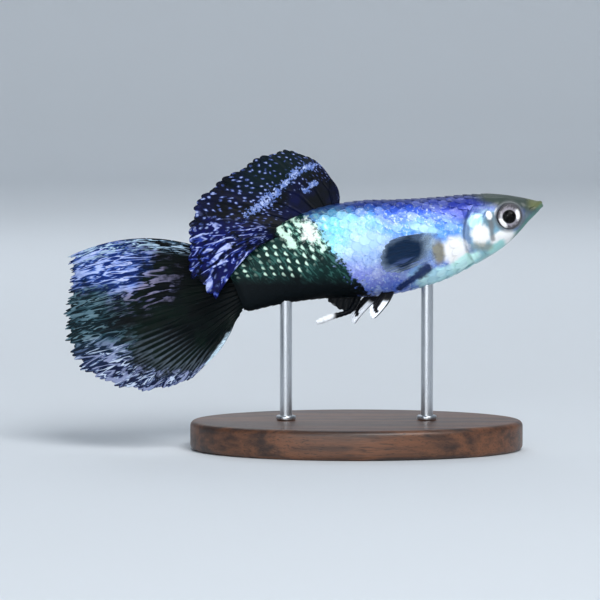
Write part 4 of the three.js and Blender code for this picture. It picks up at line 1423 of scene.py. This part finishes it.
# %% [markdown]
# ## Eye materials
# The iris is grey, darker towards its rim, with bright crescents beside the pupil, and fine streaks that
# run outwards from it. The lens is black, because a fish's eye is dark inside. The window bends light
# hardly at all, as in water, so that it shows as a gloss and not as a magnifying glass.

# %% Iris, lens and window materials
paint = Paint("iris")
x, _, z, spot = paint.place()
p = SimpleNamespace(x=x, z=z)
away = how_far(p, EYE)
outwards = paint.spot_at((x - EYE[0]) / away * 3.0, (z - EYE[1]) / away * 3.0, away * 1.4)
grain = paint.uneven(outwards, 2.4, rough=0.5)
glints = [
    blot(p, (EYE[0] + right, EYE[1] + high), size, turn, soft, grain * 0.4) * share
    for right, high, size, turn, soft, share in (
        (0.84, 0.2, (0.24, 0.52), 8, 0.35, 1.0), (-0.62, -0.62, (0.6, 0.24), -52, 0.3, 1.0),
        (-0.8, 0.1, (0.12, 0.36), 0, 0.5, 0.35),
    )
]
paint.set(
    Base_Color=paint.over(
        "58565C", ("928E98", (away + grain * 0.7).rise(1.1, 0.8)),
        ("FFFFFF", glints[0].most(glints[1]).most(glints[2])), ("030304", away.rise(0.74, 0.64)),
    ),
    Metallic=0.1,
    Roughness=0.4,
    Specular_IOR_Level=0.2,
    Normal=paint.bump(grain, 0.02, 0.6),
)
iris_paint = paint.material

paint = Paint("lens")
paint.set(
    Base_Color=paint.mix(rgb("020203"), rgb("0A0A0E"), paint.noise(paint.place()[3], 3.0)),
    Roughness=0.3,
    Specular_IOR_Level=0.12,
)
lens_paint = paint.material

paint = Paint("window")
paint.set(
    Base_Color=rgb("FFFFFF"),
    Transmission_Weight=1.0,
    IOR=1.06,
    Roughness=paint.noise(paint.place()[3], 2.0) * 0.02,
)
window_paint = paint.material

for side_name, ball, lens, window in eye_pieces:
    settle(ball, iris_paint, "eye", f"eye_{side_name}")
    settle(lens, lens_paint, "eye")
    settle(window, window_paint, "eye")

# %% [markdown]
# ## Stand materials
# Dark oiled wood, whose grain is noise drawn out along the base, and brushed steel, whose scratches are
# noise drawn out along the rods. Both are kept plain, so that the eye goes to the fish.

# %% Wood and steel
paint = Paint("dark_wood")
x, y, z, _ = paint.place()
bend = paint.noise(paint.spot_at(x * 0.05, y * 0.1, z * 0.1), 1.0, 2.0) * 5.0
rings = paint.noise(paint.spot_at(x * 0.035, y * 0.9 + bend, z * 0.9), 1.0, 3.0, 0.6)
pores = paint.noise(paint.spot_at(x * 0.5, y * 9.0, z * 9.0), 1.0, 2.0, 0.6)
paint.set(
    Base_Color=paint.over(
        "2A170D", ("6B4228", rings.rise(0.3, 0.7)), ("1C0F08", pores.rise(0.56, 0.68) * 0.7),
    ),
    Roughness=0.38 + pores * 0.2,
    Coat_Weight=0.25,
    Coat_Roughness=0.25,
    Normal=paint.bump(pores * -1.0 + rings * 0.3, 0.05, 0.6),
)
settle(base, paint.material, "stand_wood", "stand_base")

paint = Paint("brushed_steel")
x, y, z, _ = paint.place()
scratches = paint.noise(paint.spot_at(x * 14.0, y * 14.0, z * 0.5), 1.0, 3.0, 0.7)
paint.set(
    Base_Color=paint.mix(rgb("A9ADB2"), rgb("D9DCE0"), scratches),
    Metallic=1.0,
    Roughness=0.2 + scratches * 0.18,
    Normal=paint.bump(scratches, 0.01, 0.5),
)
for node, rod in rods:
    settle(rod, paint.material, "stand_steel", node)
